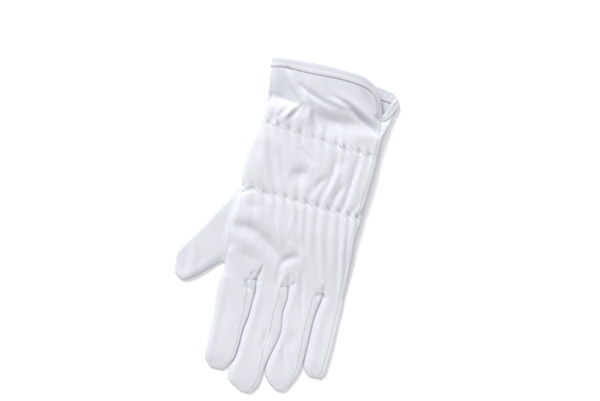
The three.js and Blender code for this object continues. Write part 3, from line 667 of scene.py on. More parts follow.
# Folds of the back. Each follows a curve from place 0 through place 1 to place 2. left and right
# are its half widths on either hand of someone who walks along it, and lift is its height.
FOLDS = table("x0 y0 x1 y1 x2 y2 left right lift", [
    # The cuff above its elastic: the sunken part at the thumb side and the ridge beside it
    (-58, 98, -38, 96, -19, 94.5, 16, 6, -5.2),
    (-49, 97, -36, 95.2, -20, 93.5, 2.8, 1.6, -1.5),
    (-38, 120, -30, 108, -21.5, 97, 3.4, 2.6, 2),
    (-40, 121.5, -36.5, 119.5, -33, 116.5, 1.3, 1.3, -1),
    (-19, 97.5, -22.5, 89, -29, 79, 2.6, 1.8, -1.6),
    (-24, 94, -28.5, 86, -34, 75, 2, 2, 1.2),
    (-27, 95, -32.5, 87, -39, 76, 1.6, 1.8, -1),
    (-16, 97, -17, 90, -21, 82, 3, 3, -1.3),
    (-27, 111, -15, 103.5, 9, 96, 2.4, 1.6, -1.7),
    (0, 107.5, 10, 104, 21, 101, 1.4, 1.6, -0.8),
    (-4, 104, 8, 101, 20, 98, 1.8, 1.8, 0.9),
    # The deep dent in the middle of the cuff and its long edge up to the side seam
    (-12, 90.5, 8, 85.5, 27, 86, 6.5, 8.5, -3.8),
    (16, 88, 31, 88, 48, 82.5, 5, 7, -2.4),
    (10, 104.5, 28, 92, 50, 81.5, 3.4, 1.6, -3),
    (3, 108.5, 25, 101, 43, 89, 3, 3, 1.5),
    (23, 117, 34, 106.5, 43, 95, 2, 2, -1.4),
    (-14, 100, -8, 88, -1, 75, 2.2, 2.6, -1.5),
    (-19, 100, -14, 89, -10, 78, 2.8, 2.8, 1.1),
    (39, 101, 44, 96.5, 50, 96.5, 2, 2, -1.4),
    (26, 83, 33, 80, 42, 79, 3, 3, 0.7),
    # Between the two rows of elastic
    (-52, 60, -47, 53, -44, 45, 3, 3, -0.9),
    (-43, 61, -34, 46, -24, 20, 4, 3.4, -2),
    (-31, 58, -24, 43, -17, 23, 1.8, 3.6, -1.5),
    (-14, 62, -6, 54.5, 1, 49, 2.4, 2.4, -1),
    (-18, 38, -9, 39.5, 1, 43.5, 4.6, 7, -2.1),
    (13, 43, 7.5, 35, 3, 23, 2.4, 3, -1.2),
    (16, 63, 17, 46, 11, 20, 1.5, 4, -1.9),
    (19.5, 56, 20, 42, 15, 24, 2, 2, 0.7),
    (24, 61, 21.5, 54, 20, 46, 3, 3, -0.8),
    (34, 65, 33.5, 45, 31, 19, 1.5, 3.5, -2),
    (37.5, 61, 37, 45, 35, 24, 2.4, 2.4, 0.6),
    (29, 41, 24.5, 32, 21.5, 22, 2, 2, -0.8),
    # The back of the hand: lobes under the elastic, the two arcs from the thumb, long folds
    (-52, 12, -48.5, 17, -41, 19.5, 1.6, 1.6, -1.2),
    (-36, 19.5, -31, 17, -26.5, 11, 1.6, 1.6, -1.2),
    (-48, 8, -40, 6, -32, 7.5, 3, 3, -0.7),
    (-58, -15, -38, -12.5, -16, -24, 4.5, 6.5, -2.5),
    (-30, -16, -17, -24, -5, -35, 4, 5, -2.1),
    (-56, -22, -39, -21, -22, -34, 5, 5, 0.9),
    (-45, -33, -34, -34.5, -25, -41, 5, 4, -0.8),
    (-19.5, 3, -14, -11, -7.5, -21, 1.4, 1.4, 0.8),
    (-8, -17, 5, -20.5, 10.5, -34, 3, 3, 0.9),
    (-9, -40, -4, -30, 8, -25, 3, 3.4, -1.8),
    (-2, -12, 3, -18, 7, -24, 3.2, 2.8, -0.8),
    (-7, -32, -7.5, -43, -4, -54, 2.8, 2.8, -0.8),
    (10.5, 14, 17, -14, 28.5, -46, 1.4, 3, -1.3),
    (14, 12, 20.5, -14, 32, -47, 2, 2, 0.6),
    (29, 14, 35, -14, 42, -52, 1.4, 3, -1.3),
    (32, 12, 38.5, -15, 44, -48, 1.8, 1.8, 0.5),
    (37, 14, 41.5, -12, 45, -46, 1.5, 2, -0.8),
    (1.5, 14, 6, -6, 11, -30, 2, 2.4, -0.8),
    (19, 13, 24.5, -8, 31, -31, 2, 2.6, -0.7),
    (-4, 13, -2, 3, 0, -8, 1.6, 2, -0.6),
    (-12, 15, -10, 5, -9, -6, 1.6, 2, -0.6),
    # Fingers and their crotches
    (9.5, -35, 13.5, -51, 19, -76, 1.4, 2.6, -1),
    (6, -87, 11, -105, 17.5, -123, 1.8, 2.2, -0.9),
    (12, -84, 14, -92, 15.5, -100, 4, 4, -0.8),
    (-8, -86, -7, -95, -8.5, -106, 2, 2, -0.7),
    (-16, -60, -15, -80, -16, -108, 5, 5, -0.5),
    (-44, -62, -43, -85, -41, -112, 5, 5, -0.5),
    (36, -60, 38, -80, 38, -106, 4, 4, -0.5),
    (-21.5, -37, -22.5, -45, -25, -53, 1.2, 1.2, -1.3),
    (-31, -50, -31, -57, -25, -60, 1.2, 1.2, -1.2),
    (-28.5, -49, -28.5, -54, -25.5, -57, 1, 1, 0.6),
    (0, -39, 1.5, -46, 4, -51, 1.2, 1.2, -1.1),
    (7, -44, 5.5, -48, 2, -51, 1.2, 1.2, -0.6),
    (-3, -41, -4.5, -52, -2.5, -64, 1.8, 1.8, 0.6),
    (28.5, -42, 30.5, -48, 31.5, -55, 1.1, 1.1, -1),
    (-25.5, -44, -28.5, -47, -27, -51, 0.9, 0.9, -0.7),
    (-22, -55, -23.5, -60, -22.5, -66, 1, 1, -0.4),
    (25, -47, 26.5, -52, 25, -58, 1, 1, -0.5),
    (-4, -46, -2.5, -50, -3.5, -55, 1, 1, -0.5),
    # The thumb and the line where it leaves the hand
    (-80, -26, -77.5, -45, -73, -61, 3, 3, 0.7),
    (-86, -38, -83, -50, -81, -62, 2.6, 2.6, -0.6),
    (-56, 24, -56.5, 5, -55, -15, 2, 2.4, -1),
    (-54, -17, -50.5, -26.5, -50.5, -33, 2, 2, -1.3),
])

# All folds are scaled by the gain. Those with a side narrower than this, in millimetres, are
# pressed in after the cloth simulation, which would smooth them away. One power shapes how a fold
# fades towards its ends, and one how it falls off to its sides, up to its reach in half widths.
FOLD = {"gain": 1.3, "narrow": 2.7, "end_power": 1.1, "side_power": 1.7, "reach": 3}
FOLD_STEPS = {"narrow": 120, "wide": 40}

# Where the gathers of each row of elastic pinch, in x, from the thumb side to the little finger.
WRIST_PINCHES = [-52, -42.5, -33.5, -24, -15.2, -6.5, 2, 11.3, 20.7, 29, 37, 43.5]
CUFF_PINCHES = [-50, -42, -34, -25, -15.5, -5, 4, 14.5, 22.3, 33.3, 41.8]
UNDER_PINCHES = [-47, -38.5, -30, -20.6, -11, -2.5, 6, 15.2, 24, 32.2, 40]

# Lean of the pleats on either side of a row: sideways travel per millimetre away from it, which
# changes evenly from x 0 by the slope.
PLEATS = [
    {"row": "wrist", "side": 1, "lean": -0.03, "slope": 0.013, "reach": 17, "depth": 0.75},
    {"row": "wrist", "side": -1, "lean": 0.2, "slope": 0, "reach": 20, "depth": 0.6},
    {"row": "cuff", "side": 1, "lean": -0.1, "slope": -0.006, "reach": 8, "depth": 0.8},
    {"row": "cuff", "side": -1, "lean": 0.22, "slope": -0.004, "reach": 12, "depth": 0.7},
]
# The shape of one pleat: its half width, which grows away from the row up to a distance, the
# ridge beside it, and by how much the pleats differ from one another.
PLEAT = {
    "width": 1.3,
    "widening": 0.09,
    "widens_to": 30,
    "fall_power": 1.5,
    "starts": -0.5,
    "ridge_at": 4.4,
    "ridge": 0.35,
    "ridge_width": 1.3,
    "reach_varies": (0.55, 1.35),
    "depth_varies": (0.7, 1.25),
    "lean_varies": (-0.05, 0.05),
    "seed": 5,
}
ROWS = {
    "wrist": {**WRIST_ELASTIC, "pinches": WRIST_PINCHES},
    "cuff": {**CUFF_ELASTIC, "pinches": CUFF_PINCHES},
}


def fold_curve(fold, steps):
    """Points along a fold and its tangents: a parabola through its three places."""
    share = np.linspace(0, 1, steps)[:, None]
    start, middle, end = (np.array([fold[f"x{k}"], fold[f"y{k}"]]) for k in range(3))
    control = 2 * middle - (start + end) / 2
    curve = start * (1 - share) ** 2 + control * 2 * share * (1 - share) + end * share ** 2
    tangent = (control - start) * (1 - share) + (end - control) * share
    return curve, tangent, share[:, 0]


def is_narrow(fold):
    return min(fold["left"], fold["right"]) < FOLD["narrow"]


def fold_lift(fold, places):
    """How far a fold lifts the cloth at each place."""
    curve, tangent, share = fold_curve(fold, FOLD_STEPS["narrow" if is_narrow(fold) else "wide"])
    reach = FOLD["reach"] * max(fold["left"], fold["right"])
    low = curve.min(0) - reach
    high = curve.max(0) + reach
    lift = np.zeros(len(places))
    near = np.flatnonzero(((places > low) & (places < high)).all(1))
    away = places[near, None, :] - curve[None, :, :]
    squared = (away ** 2).sum(2)
    index = squared.argmin(1)
    gap = away[np.arange(len(near)), index]
    along = tangent[index]
    is_left = along[:, 0] * gap[:, 1] - along[:, 1] * gap[:, 0] > 0
    width = np.where(is_left, fold["left"], fold["right"])
    distance_share = np.sqrt(squared[np.arange(len(near)), index]) / width
    fade = np.sin(math.pi * np.clip(share[index], 0.01, 0.99)) ** FOLD["end_power"]
    lift[near] = fold["lift"] * fade * np.exp(-distance_share ** FOLD["side_power"])
    return lift


def row_offset(row, places):
    """Distance up the cuff from a row of elastic."""
    return places[:, 1] - (ROWS[row]["y"] + ROWS[row]["lean"] * places[:, 0])


def pleat_lift(places, pinches_of=None):
    """The pleats that spread from both rows of elastic, deepest at the row."""
    random = np.random.default_rng(PLEAT["seed"])
    lift = np.zeros(len(places))
    for pleat in PLEATS:
        offset = row_offset(pleat["row"], places) * pleat["side"]
        away = np.maximum(offset, 0)
        width = PLEAT["width"] + PLEAT["widening"] * np.clip(offset, 0, PLEAT["widens_to"])
        ridge_width = width * PLEAT["ridge_width"]
        for pinch in pinches_of or ROWS[pleat["row"]]["pinches"]:
            reach = pleat["reach"] * random.uniform(*PLEAT["reach_varies"])
            depth = pleat["depth"] * random.uniform(*PLEAT["depth_varies"])
            lean = pleat["lean"] + pleat["slope"] * pinch + random.uniform(*PLEAT["lean_varies"])
            centre = pinch + lean * away
            fall = np.exp(-(away / reach) ** PLEAT["fall_power"]) * (offset > PLEAT["starts"])
            lift -= depth * fall * np.exp(-((places[:, 0] - centre) / width) ** 2)
            ridge = np.exp(-((places[:, 0] - (centre + PLEAT["ridge_at"])) / ridge_width) ** 2)
            lift += PLEAT["ridge"] * depth * fall * ridge
    return lift


# What each pinch of the elastic looks like: slanted pits and knuckles, by their place beside it.
PINCH_MARKS = table("x y width length lift", [
    (0, -0.3, 0.75, 2.6, -0.85),
    (1.7, -1.9, 0.9, 1.2, -0.4),
    (-3, 0.6, 1.2, 1.8, 0.75),
    (-1.6, 1.9, 0.8, 1.1, -0.35),
    (3.4, -0.4, 1.1, 1.8, 0.65),
    (5.2, 0.4, 0.7, 1.9, -0.65),
])
# The waist that the pinches stand in, and by how much the pinches differ from one another.
PINCH = {
    "waist": 0.3,
    "waist_width": 2.1,
    "place_varies": (-0.8, 0.8),
    "size_varies": (0.7, 1.3),
    "slant_varies": (0.8, 1.5),
    "mark_varies": (-0.4, 0.4),
    "seed": 11,
}


def pinch_lift(places, pinches_of=None):
    """The rows of elastic themselves: a waist with comma-shaped pits and knuckles between."""
    random = np.random.default_rng(PINCH["seed"])
    lift = np.zeros(len(places))
    for name, row in ROWS.items():
        offset = row_offset(name, places)
        lift -= PINCH["waist"] * np.exp(-(offset / PINCH["waist_width"]) ** 2)
        for pinch in pinches_of or row["pinches"]:
            across = places[:, 0] - pinch - random.uniform(*PINCH["place_varies"])
            size = random.uniform(*PINCH["size_varies"])
            for mark in PINCH_MARKS:
                above = offset - mark["y"]
                along = across - mark["x"] + above * random.uniform(*PINCH["slant_varies"])
                away = (above - random.uniform(*PINCH["mark_varies"])) / mark["length"]
                lift += mark["lift"] * size * np.exp(-(along / mark["width"]) ** 2 - away ** 2)
    return lift


# Slight unevenness of the cloth on either side. Its hills are about one cell across and longer
# along the glove, by this share of a cell for each cell of length.
UNEVEN = {
    "top": {"height": 0.14, "along": 0.35, "cell": 7, "seed": 3},
    "under": {"height": 0.25, "along": 0.4, "cell": 9, "seed": 8},
}
# The noise repeats itself after this many cells, and the pattern lies this many cells inside it.
NOISE = {"cells": 96, "shift": 400}


def unevenness(places, side):
    """Smooth seeded noise, from values at the corners of a grid of cells that repeats itself."""
    uneven = UNEVEN[side]
    cells = NOISE["cells"]
    grid = np.random.default_rng(uneven["seed"]).uniform(-1, 1, (cells, cells))
    scaled = places * [1, uneven["along"]] / uneven["cell"] + NOISE["shift"]
    index = np.floor(scaled).astype(int)
    across, along = eased(scaled - index).T
    left, low = (index % cells).T
    right = (left + 1) % cells
    high = (low + 1) % cells
    lower = grid[left, low] * (1 - across) + grid[right, low] * across
    upper = grid[left, high] * (1 - across) + grid[right, high] * across
    return uneven["height"] * (lower * (1 - along) + upper * along)


def folds_lift(places, narrow):
    lifts = (fold_lift(fold, places) for fold in FOLDS if is_narrow(fold) == narrow)
    return FOLD["gain"] * sum(lifts)


# Where the surface turns up or down enough to be changed: the normal's z at which a change
# starts, and the further z over which it grows to its full size.
FACING = {"folds": (0.12, 0.5), "marks": (0.1, 0.5), "under": (0.3, 0.5), "free": (0.35, 0.4)}
# The gathers of the underside, as shares of those on top.
UNDER = {"pleats": 0.6, "pinches": 0.55}


def facing(normals_z, change):
    """How far a change applies, by the normals' z: 0 where they point away and 1 where they face it."""
    return rising(normals_z, *FACING[change])


def sculpt(points, normals):
    """Adds the wide folds and the gathers to the smooth skin, along its normals."""
    places = points[:, :2]
    top_lift = folds_lift(places, False) + pleat_lift(places) + unevenness(places, "top")
    under_lift = UNDER["pleats"] * pleat_lift(places, UNDER_PINCHES) + unevenness(places, "under")
    lift = top_lift * facing(normals[:, 2], "folds")
    lift += np.minimum(under_lift, 0) * facing(-normals[:, 2], "under")
    return along_normals(points, normals, lift)


# The cloth simulation. Slack is the share by which cloth is cut wider, cuff_slack the share of
# it that is left in the cuff, held the least pin weight, cap the longest travel in millimetres
# and calmer the share of travel that the cuff loses. Each pair gives where a change starts and
# the distance over which it takes place, in millimetres.
CLOTH_SIM = {
    "scale": 0.01,
    "frames": 18,
    "gathered_by": 8,
    "hand_slack": 0.017,
    "finger_slack": 0.008,
    "hand_from_y": (-60, 30),
    "hand_from_x": (-62, 8),
    "cuff_slack": 0.3,
    "cuff_from_y": (88, -12),
    "held": 0.4,
    "free_from_elastic": (1.5, 3),
    "cap": 2.5,
    "calmer": 0.75,
    "calmer_from_y": (84, 10),
    "smoothing": 2,
}
CLOTH_SETTINGS = {
    "quality": 6,
    "mass": 0.3,
    "tension_stiffness": 20,
    "compression_stiffness": 20,
    "shear_stiffness": 8,
    "bending_stiffness": 0.4,
    "air_damping": 4,
    "vertex_group_mass": "held",
    "pin_stiffness": 1,
}


def smoothed(mesh, travel, rounds):
    """Evens the cloth's travel over neighbouring corners, so no crease is as narrow as a face."""
    ends = np.array([edge.vertices[:] for edge in mesh.edges])
    valence = np.bincount(ends.ravel(), minlength=len(travel))[:, None]
    for _ in range(rounds):
        around = np.zeros_like(travel)
        np.add.at(around, ends[:, 0], travel[ends[:, 1]])
        np.add.at(around, ends[:, 1], travel[ends[:, 0]])
        travel = 0.5 * travel + 0.5 * around / np.maximum(valence, 1)
    return travel


def pin_weights(mesh, points, normals):
    """1 where the cloth is held: its underside, its sides, the hem and both rows of elastic."""
    rows = np.minimum(np.abs(row_offset("wrist", points)), np.abs(row_offset("cuff", points)))
    free = facing(normals[:, 2], "free") * rising(rows, *CLOTH_SIM["free_from_elastic"])
    hem = PIECES.index("cuff_hem")
    for polygon in mesh.polygons:
        if polygon.material_index == hem:
            free[list(polygon.vertices)] = 0
    return 1 - free * (1 - CLOTH_SIM["held"])


def relax(mesh, points, normals):
    """Lets slack cloth buckle between the places that hold it, by a cloth simulation.

    The cloth is cut wider than the glove lies, and the places that hold it draw in as elastic
    does. It is simulated at ten times its size, for which the cloth settings are meant.
    """
    scale = CLOTH_SIM["scale"]
    piece = link(mesh.copy())
    x, y = points[:, 0], points[:, 1]
    in_hand = rising(y, *CLOTH_SIM["hand_from_y"]) * rising(x, *CLOTH_SIM["hand_from_x"])
    cuff_slack = CLOTH_SIM["cuff_slack"]
    in_hand *= cuff_slack + (1 - cuff_slack) * rising(y, *CLOTH_SIM["cuff_from_y"])
    slack = CLOTH_SIM["finger_slack"]
    slack = slack + (CLOTH_SIM["hand_slack"] - slack) * in_hand
    cut = points.copy()
    cut[:, 0] *= 1 + slack
    set_coordinates(piece.data, cut * scale)
    group = piece.vertex_groups.new(name="held")
    for vertex, weight in enumerate(pin_weights(mesh, points, normals)):
        group.add([vertex], float(weight), "REPLACE")
    piece.shape_key_add(name="cut")
    gathered = piece.shape_key_add(name="gathered")
    gathered.data.foreach_set("co", (points * scale).ravel())
    for value, frame_number in ((0, 1), (1, CLOTH_SIM["gathered_by"])):
        gathered.value = value
        gathered.keyframe_insert("value", frame=frame_number)
    modifier = piece.modifiers.new("cloth", "CLOTH")
    for setting, value in CLOTH_SETTINGS.items():
        setattr(modifier.settings, setting, value)
    modifier.settings.effector_weights.gravity = 0
    modifier.collision_settings.use_collision = False
    modifier.collision_settings.use_self_collision = False
    modifier.point_cache.frame_start = 1
    modifier.point_cache.frame_end = CLOTH_SIM["frames"]
    for frame_number in range(1, CLOTH_SIM["frames"] + 1):
        bpy.context.scene.frame_set(frame_number)
    settled = coordinates(with_modifiers(piece)) / scale
    bpy.context.scene.frame_set(1)
    travel = smoothed(mesh, settled - points, CLOTH_SIM["smoothing"])
    length = np.linalg.norm(travel, axis=1)
    cap = CLOTH_SIM["cap"]
    calm = 1 - CLOTH_SIM["calmer"] * rising(y, *CLOTH_SIM["calmer_from_y"])
    travel *= (calm * cap * np.tanh(length / cap) / np.maximum(length, 1e-6))[:, None]
    return points + travel


def seam_edges(faces, labels):
    """Edges where two pieces meet, with the two pieces' labels."""
    owners = {}
    for face, label in zip(faces, labels):
        for start, end in zip(face, np.roll(face, -1)):
            owners.setdefault((min(start, end), max(start, end)), []).append(label)
    return {edge: pair for edge, pair in owners.items() if len(pair) == 2 and pair[0] != pair[1]}


def distances(points, targets):
    """Distance from each point to the nearest target."""
    tree = kdtree.KDTree(len(targets))
    for index, target in enumerate(targets):
        tree.insert(target, index)
    tree.balance()
    return np.array([tree.find(point)[2] for point in points])


def sheet_of(mesh):
    """The mesh's faces as lists of vertices, with their labels and the uvs of their corners."""
    numbers = numbers_of(mesh.uv_layers["cloth"].data, "uv", 2)
    corners = [polygon.loop_indices for polygon in mesh.polygons]
    return {
        "faces": [list(polygon.vertices) for polygon in mesh.polygons],
        "labels": [polygon.material_index for polygon in mesh.polygons],
        "uvs": [[tuple(numbers[corner]) for corner in loop] for loop in corners],
    }


def labelled(sheet, numbers):
    """Indices of the sheet's faces that have one of the labels."""
    return [index for index, label in enumerate(sheet["labels"]) if label in numbers]


def side_of(sheet, own, points, back):
    """One side of a wall: the sheet's own faces with these indices, on the given points."""
    side = {key: [sheet[key][index] for index in own] for key in ("faces", "uvs")}
    return {**side, "points": points, "back": back}


def boundary_loops(faces):
    """Directed edges that only one face has, as a map from each start to its end."""
    edges = {(start, end) for face in faces for start, end in zip(face, [*face[1:], face[0]])}
    return {start: end for start, end in edges if (end, start) not in edges}


def drawn_back(faces, points, distance):
    """Moves the vertices on a piece's boundary into the piece, away from its neighbour."""
    border = boundary_loops(faces)
    inward = {}
    for face in faces:
        centre = None
        for vertex in face:
            if vertex in border:
                if centre is None:
                    centre = points[face].mean(0)
                inward.setdefault(vertex, []).append(centre - points[vertex])
    moved = {}
    for vertex, ways in inward.items():
        way = np.mean(ways, axis=0)
        moved[vertex] = points[vertex] + way / np.linalg.norm(way) * distance
    return border, moved


def wall(name, outside, inside, layers, bulging=()):
    """A closed wall of cloth. outside and inside hold their faces, points, uvs and draw-back.

    Without layers the rim is flat, so that the shading ends crisply at a seam.
    The inside may be coarser: its border's edges then each span two edges of the outside.
    layers are the rim's rows between the two, as shares of the way in and heights outwards.
    """
    out_border, out_moved = drawn_back(outside["faces"], outside["points"], outside["back"])
    in_border, in_moved = drawn_back(inside["faces"], inside["points"], inside["back"])
    points = []
    index_of = {}

    def index(side, vertex, source, moved):
        key = (side, vertex)
        if key not in index_of:
            index_of[key] = len(points)
            points.append(moved.get(vertex, source[vertex]))
        return index_of[key]

    def outer(vertex):
        return index("out", vertex, outside["points"], out_moved)

    def inner(vertex):
        return index("in", vertex, inside["points"], in_moved)

    faces = [[outer(vertex) for vertex in face] for face in outside["faces"]]
    uvs = [list(uv) for uv in outside["uvs"]]
    for face, uv in zip(inside["faces"], inside["uvs"]):
        faces.append([inner(vertex) for vertex in reversed(face)])
        uvs.append(list(reversed(uv)))
    uv_at = {}
    for face, uv in zip(outside["faces"], outside["uvs"]):
        for vertex, place in zip(face, uv):
            uv_at[vertex] = place

    def rim(corners, sources):
        faces.append(corners)
        uvs.append([uv_at.get(vertex, (0, 0)) for vertex in sources])

    def layer_point(level, vertex):
        key = (level, vertex)
        if key not in index_of:
            share, height = layers[level]
            start = out_moved[vertex]
            end = in_moved[vertex]
            away = outside["points"][vertex] - start
            away = away / max(np.linalg.norm(away), 1e-6)
            index_of[key] = len(points)
            height *= vertex in bulging
            points.append(start + (end - start) * share + away * height)
        return index_of[key]

    if layers:
        for start, end in out_border.items():
            row = [outer(start), outer(end)]
            for level in range(len(layers)):
                next_row = [layer_point(level, start), layer_point(level, end)]
                rim([row[1], row[0], next_row[0], next_row[1]], [end, start, start, end])
                row = next_row
            rim([row[1], row[0], inner(start), inner(end)], [end, start, start, end])
    else:
        for start, end in in_border.items():
            middle = out_border[start]
            if middle == end:
                rim([outer(end), outer(start), inner(start), inner(end)], [end, start, start, end])
                continue
            rim([outer(middle), outer(start), inner(start)], [middle, start, start])
            rim([outer(end), outer(middle), inner(end)], [end, middle, end])
            rim([outer(middle), inner(start), inner(end)], [middle, start, end])
    mesh = mesh_of(name, points, faces, uvs=uvs)
    sheets = len(outside["faces"]) + len(inside["faces"])
    for polygon in mesh.polygons:
        polygon.use_smooth = bool(layers) or polygon.index < sheets
    return mesh


def new_material(name):
    material = bpy.data.materials.new(name)
    material.use_nodes = True
    tree = material.node_tree
    return material, tree, tree.nodes["Principled BSDF"]


def set_inputs(tree, node, inputs):
    """Sets a node's inputs to values or links them to other sockets."""
    for socket, value in inputs.items():
        if isinstance(value, bpy.types.NodeSocket):
            tree.links.new(value, node.inputs[socket])
        else:
            node.inputs[socket].default_value = value


def add_node(tree, kind, inputs, **settings):
    node = tree.nodes.new(kind)
    for setting, value in settings.items():
        setattr(node, setting, value)
    set_inputs(tree, node, inputs)
    return node


def maths(tree, operation, *values):
    """The result of a maths node on numbers or sockets."""
    node = add_node(tree, "ShaderNodeMath", dict(enumerate(values)), operation=operation)
    return node.outputs[0]


def mapped(tree, value, from_range, to_range):
    """A value moved from one range to another."""
    names = ("From Min", "From Max", "To Min", "To Max")
    ranges = dict(zip(names, (*from_range, *to_range)))
    return add_node(tree, "ShaderNodeMapRange", {"Value": value, **ranges}).outputs["Result"]


def object_noise(tree, inputs, kind="ShaderNodeTexNoise"):
    """A texture that is fixed to the object, in metres."""
    where = add_node(tree, "ShaderNodeTexCoord", {})
    return add_node(tree, kind, {"Vector": where.outputs["Object"], **inputs}).outputs[0]


def blended(tree, share, shade, light, between=(0, 1)):
    """A colour from the shade to the light as the share grows between two values."""
    node = add_node(tree, "ShaderNodeValToRGB", {0: share})
    for element, position, colour in zip(node.color_ramp.elements, between, (shade, light)):
        element.position = position
        element.color = (*colour, 1)
    return node.outputs["Color"]


def bumped(tree, height, depth, normal=None):
    """A normal with bumps whose depth is in millimetres, on top of another normal."""
    inputs = {"Height": height, "Strength": 1.0, "Distance": depth * METRES}
    if normal:
        inputs["Normal"] = normal
    return add_node(tree, "ShaderNodeBump", inputs).outputs[0]


# Distance from one wale to the next and from one course to the next, in millimetres.
KNIT = {"wale": 0.42, "course": 0.36}
KNIT_FUZZ = {"Scale": 1400, "Detail": 3, "Roughness": 0.7}
KNIT_PATCHES = {"Scale": 38, "Detail": 4, "Roughness": 0.55}
KNIT_SURFACE = {
    "Sheen Weight": 0.07,
    "Sheen Roughness": 0.6,
    "Specular IOR Level": 0.2,
    "Subsurface Weight": 0.25,
    "Subsurface Radius": (0.0012, 0.0012, 0.0014),
    "Subsurface Scale": 1.0,
}


def knit_material(name, light, shade, knit_depth, fuzz_depth):
    """Fine warp-knit cloth: wales and courses from the cloth's own UV, in millimetres, and fuzz."""
    material, tree, shader = new_material(name)
    place = add_node(tree, "ShaderNodeUVMap", {}, uv_map="cloth")
    split = add_node(tree, "ShaderNodeSeparateXYZ", {0: place.outputs["UV"]})
    turn = 2 * math.pi
    across = maths(tree, "MULTIPLY", split.outputs["X"], turn / KNIT["wale"])
    along = maths(tree, "MULTIPLY", split.outputs["Y"], turn / KNIT["course"])
    wale = maths(tree, "SINE", across)
    course = maths(tree, "SINE", along)
    loops = maths(tree, "MULTIPLY", wale, course)
    knit = maths(tree, "MULTIPLY_ADD", loops, 0.5, wale)
    fuzz = object_noise(tree, KNIT_FUZZ)
    patches = object_noise(tree, KNIT_PATCHES)
    # Painted shade: the colour is up to 3% darker where the knit's bump is low, in its grooves.
    knit_groove_shade = mapped(tree, knit, (-1.5, 1.5), (0.97, 1.0))
    colour = add_node(tree, "ShaderNodeVectorMath", {
        0: blended(tree, patches, shade, light, (0.3, 0.7)), 1: knit_groove_shade,
    }, operation="MULTIPLY")
    set_inputs(tree, shader, {
        "Base Color": colour.outputs[0],
        "Roughness": mapped(tree, fuzz, (0.3, 0.7), (0.86, 0.98)),
        "Normal": bumped(tree, fuzz, fuzz_depth, bumped(tree, knit, knit_depth)),
        **KNIT_SURFACE,
    })
    return material


TWIST = {"Scale": 900, "Distortion": 2, "Detail": 1}
TWIST_DEPTH = 0.05


def thread_material(name, light, shade):
    """Twisted sewing thread, with shade painted into the twist's grooves."""
    material, tree, shader = new_material(name)
    twist = object_noise(tree, TWIST, "ShaderNodeTexWave")
    set_inputs(tree, shader, {
        # Painted shade: the colour goes from the shade colour in the twist's grooves to the light one on
        # its crests.
        "Base Color": blended(tree, twist, shade, light),
        "Normal": bumped(tree, twist, TWIST_DEPTH),
        "Roughness": 0.6,
        "Sheen Weight": 0.1,
    })
    return material


def add_piece(mesh, material, slot, *nodes):
    """Adds a mesh as a piece of the glove, moved from the pattern into the frame."""
    mesh.materials.append(material)
    set_coordinates(mesh, (coordinates(mesh) - PATTERN_CENTRE) * METRES)
    piece = link(mesh)
    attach(piece, "root")
    if nodes:
        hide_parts(*nodes)
    return piece


# A seam's groove and the roll on either side of it, which puckers along the seam: by this pitch,
# with a slow drift, and by all but this share of its height.
SEAM = {
    "groove": 0.035,
    "groove_width": 0.6,
    "roll": 0.06,
    "roll_at": 1.4,
    "roll_width": 0.9,
    "pucker_pitch": 3.3,
    "drift": 1.3,
    "drift_rate": 0.31,
    "unpuckered": 0.45,
}
# Back and palm meet without a seam left of this x, at the fold of the thumb side.
FOLD_SIDE_X = -40
# The inner faces of the cloth: their least height, and how far they stay back from a seam.
INSIDE = {"lowest": 0.15, "back": 3 * SEAM_BACK}
# The hem stands proud of the cloth and has a ridge on either side of its middle. The rim's rows
# are given by their shares of the way in and by how far they bulge.
HEM = {
    "proud": 0.4,
    "ridge": 0.24,
    "ridge_power": 0.8,
    "depth": 1.5,
    "lowest": 0.5,
    "rim": [(0.18, 0.5), (0.5, 0.75), (0.82, 0.5)],
}


def seam_lift(points, seams):
    """Groove and rolls along the sewn seams, with small puckers across them."""
    away = distances(points, seams)
    y = points[:, 1]
    drift = SEAM["drift"] * np.sin(y * SEAM["drift_rate"])
    pucker = 0.5 + 0.5 * np.sin(y * 2 * math.pi / SEAM["pucker_pitch"] + drift)
    groove = -SEAM["groove"] * np.exp(-(away / SEAM["groove_width"]) ** 2)
    roll = SEAM["roll"] * np.exp(-((away - SEAM["roll_at"]) / SEAM["roll_width"]) ** 2)
    return groove + roll * (SEAM["unpuckered"] + (1 - SEAM["unpuckered"]) * pucker)


def is_fold_side(places, pair):
    """True at the fold of the thumb side, where back and palm meet with no seam to be seen."""
    return set(pair) == {0, 1} and places[:, 0].mean() < FOLD_SIDE_X


def shingled(points):
    """Leans the fingers, so that each lies a little over its neighbour to the little finger."""
    moved = points.copy()
    lean = SHINGLE["lean"] * rising(points[:, 1], SHINGLE["start"], -SHINGLE["over"])
    moved[:, 0] += lean * (points[:, 2] - SHINGLE["level"])
    return moved


coarse = build_skin()
control = mesh_of("control", coarse.points, coarse.faces, coarse.pieces, coarse.uvs)
for _ in range(FITTING["rounds"]):
    smooth = coordinates(subdivided(control, 2))[:len(coarse.points)]
    missing = (np.array(coarse.points) - smooth) * FITTING["shares"]
    set_coordinates(control, coordinates(control) + missing)
set_coordinates(control, shingled(coordinates(control)))
middle = subdivided(control, 2)
base = coordinates(middle)
base_normals = normals_of(middle)
sculpted = sculpt(base, base_normals)
sculpted = relax(middle, sculpted, base_normals)
set_coordinates(middle, sculpted)
fine = subdivided(middle, 1)

inner_sheet = sheet_of(middle)
outer_sheet = sheet_of(fine)
points = coordinates(fine)
normals = normals_of(fine)

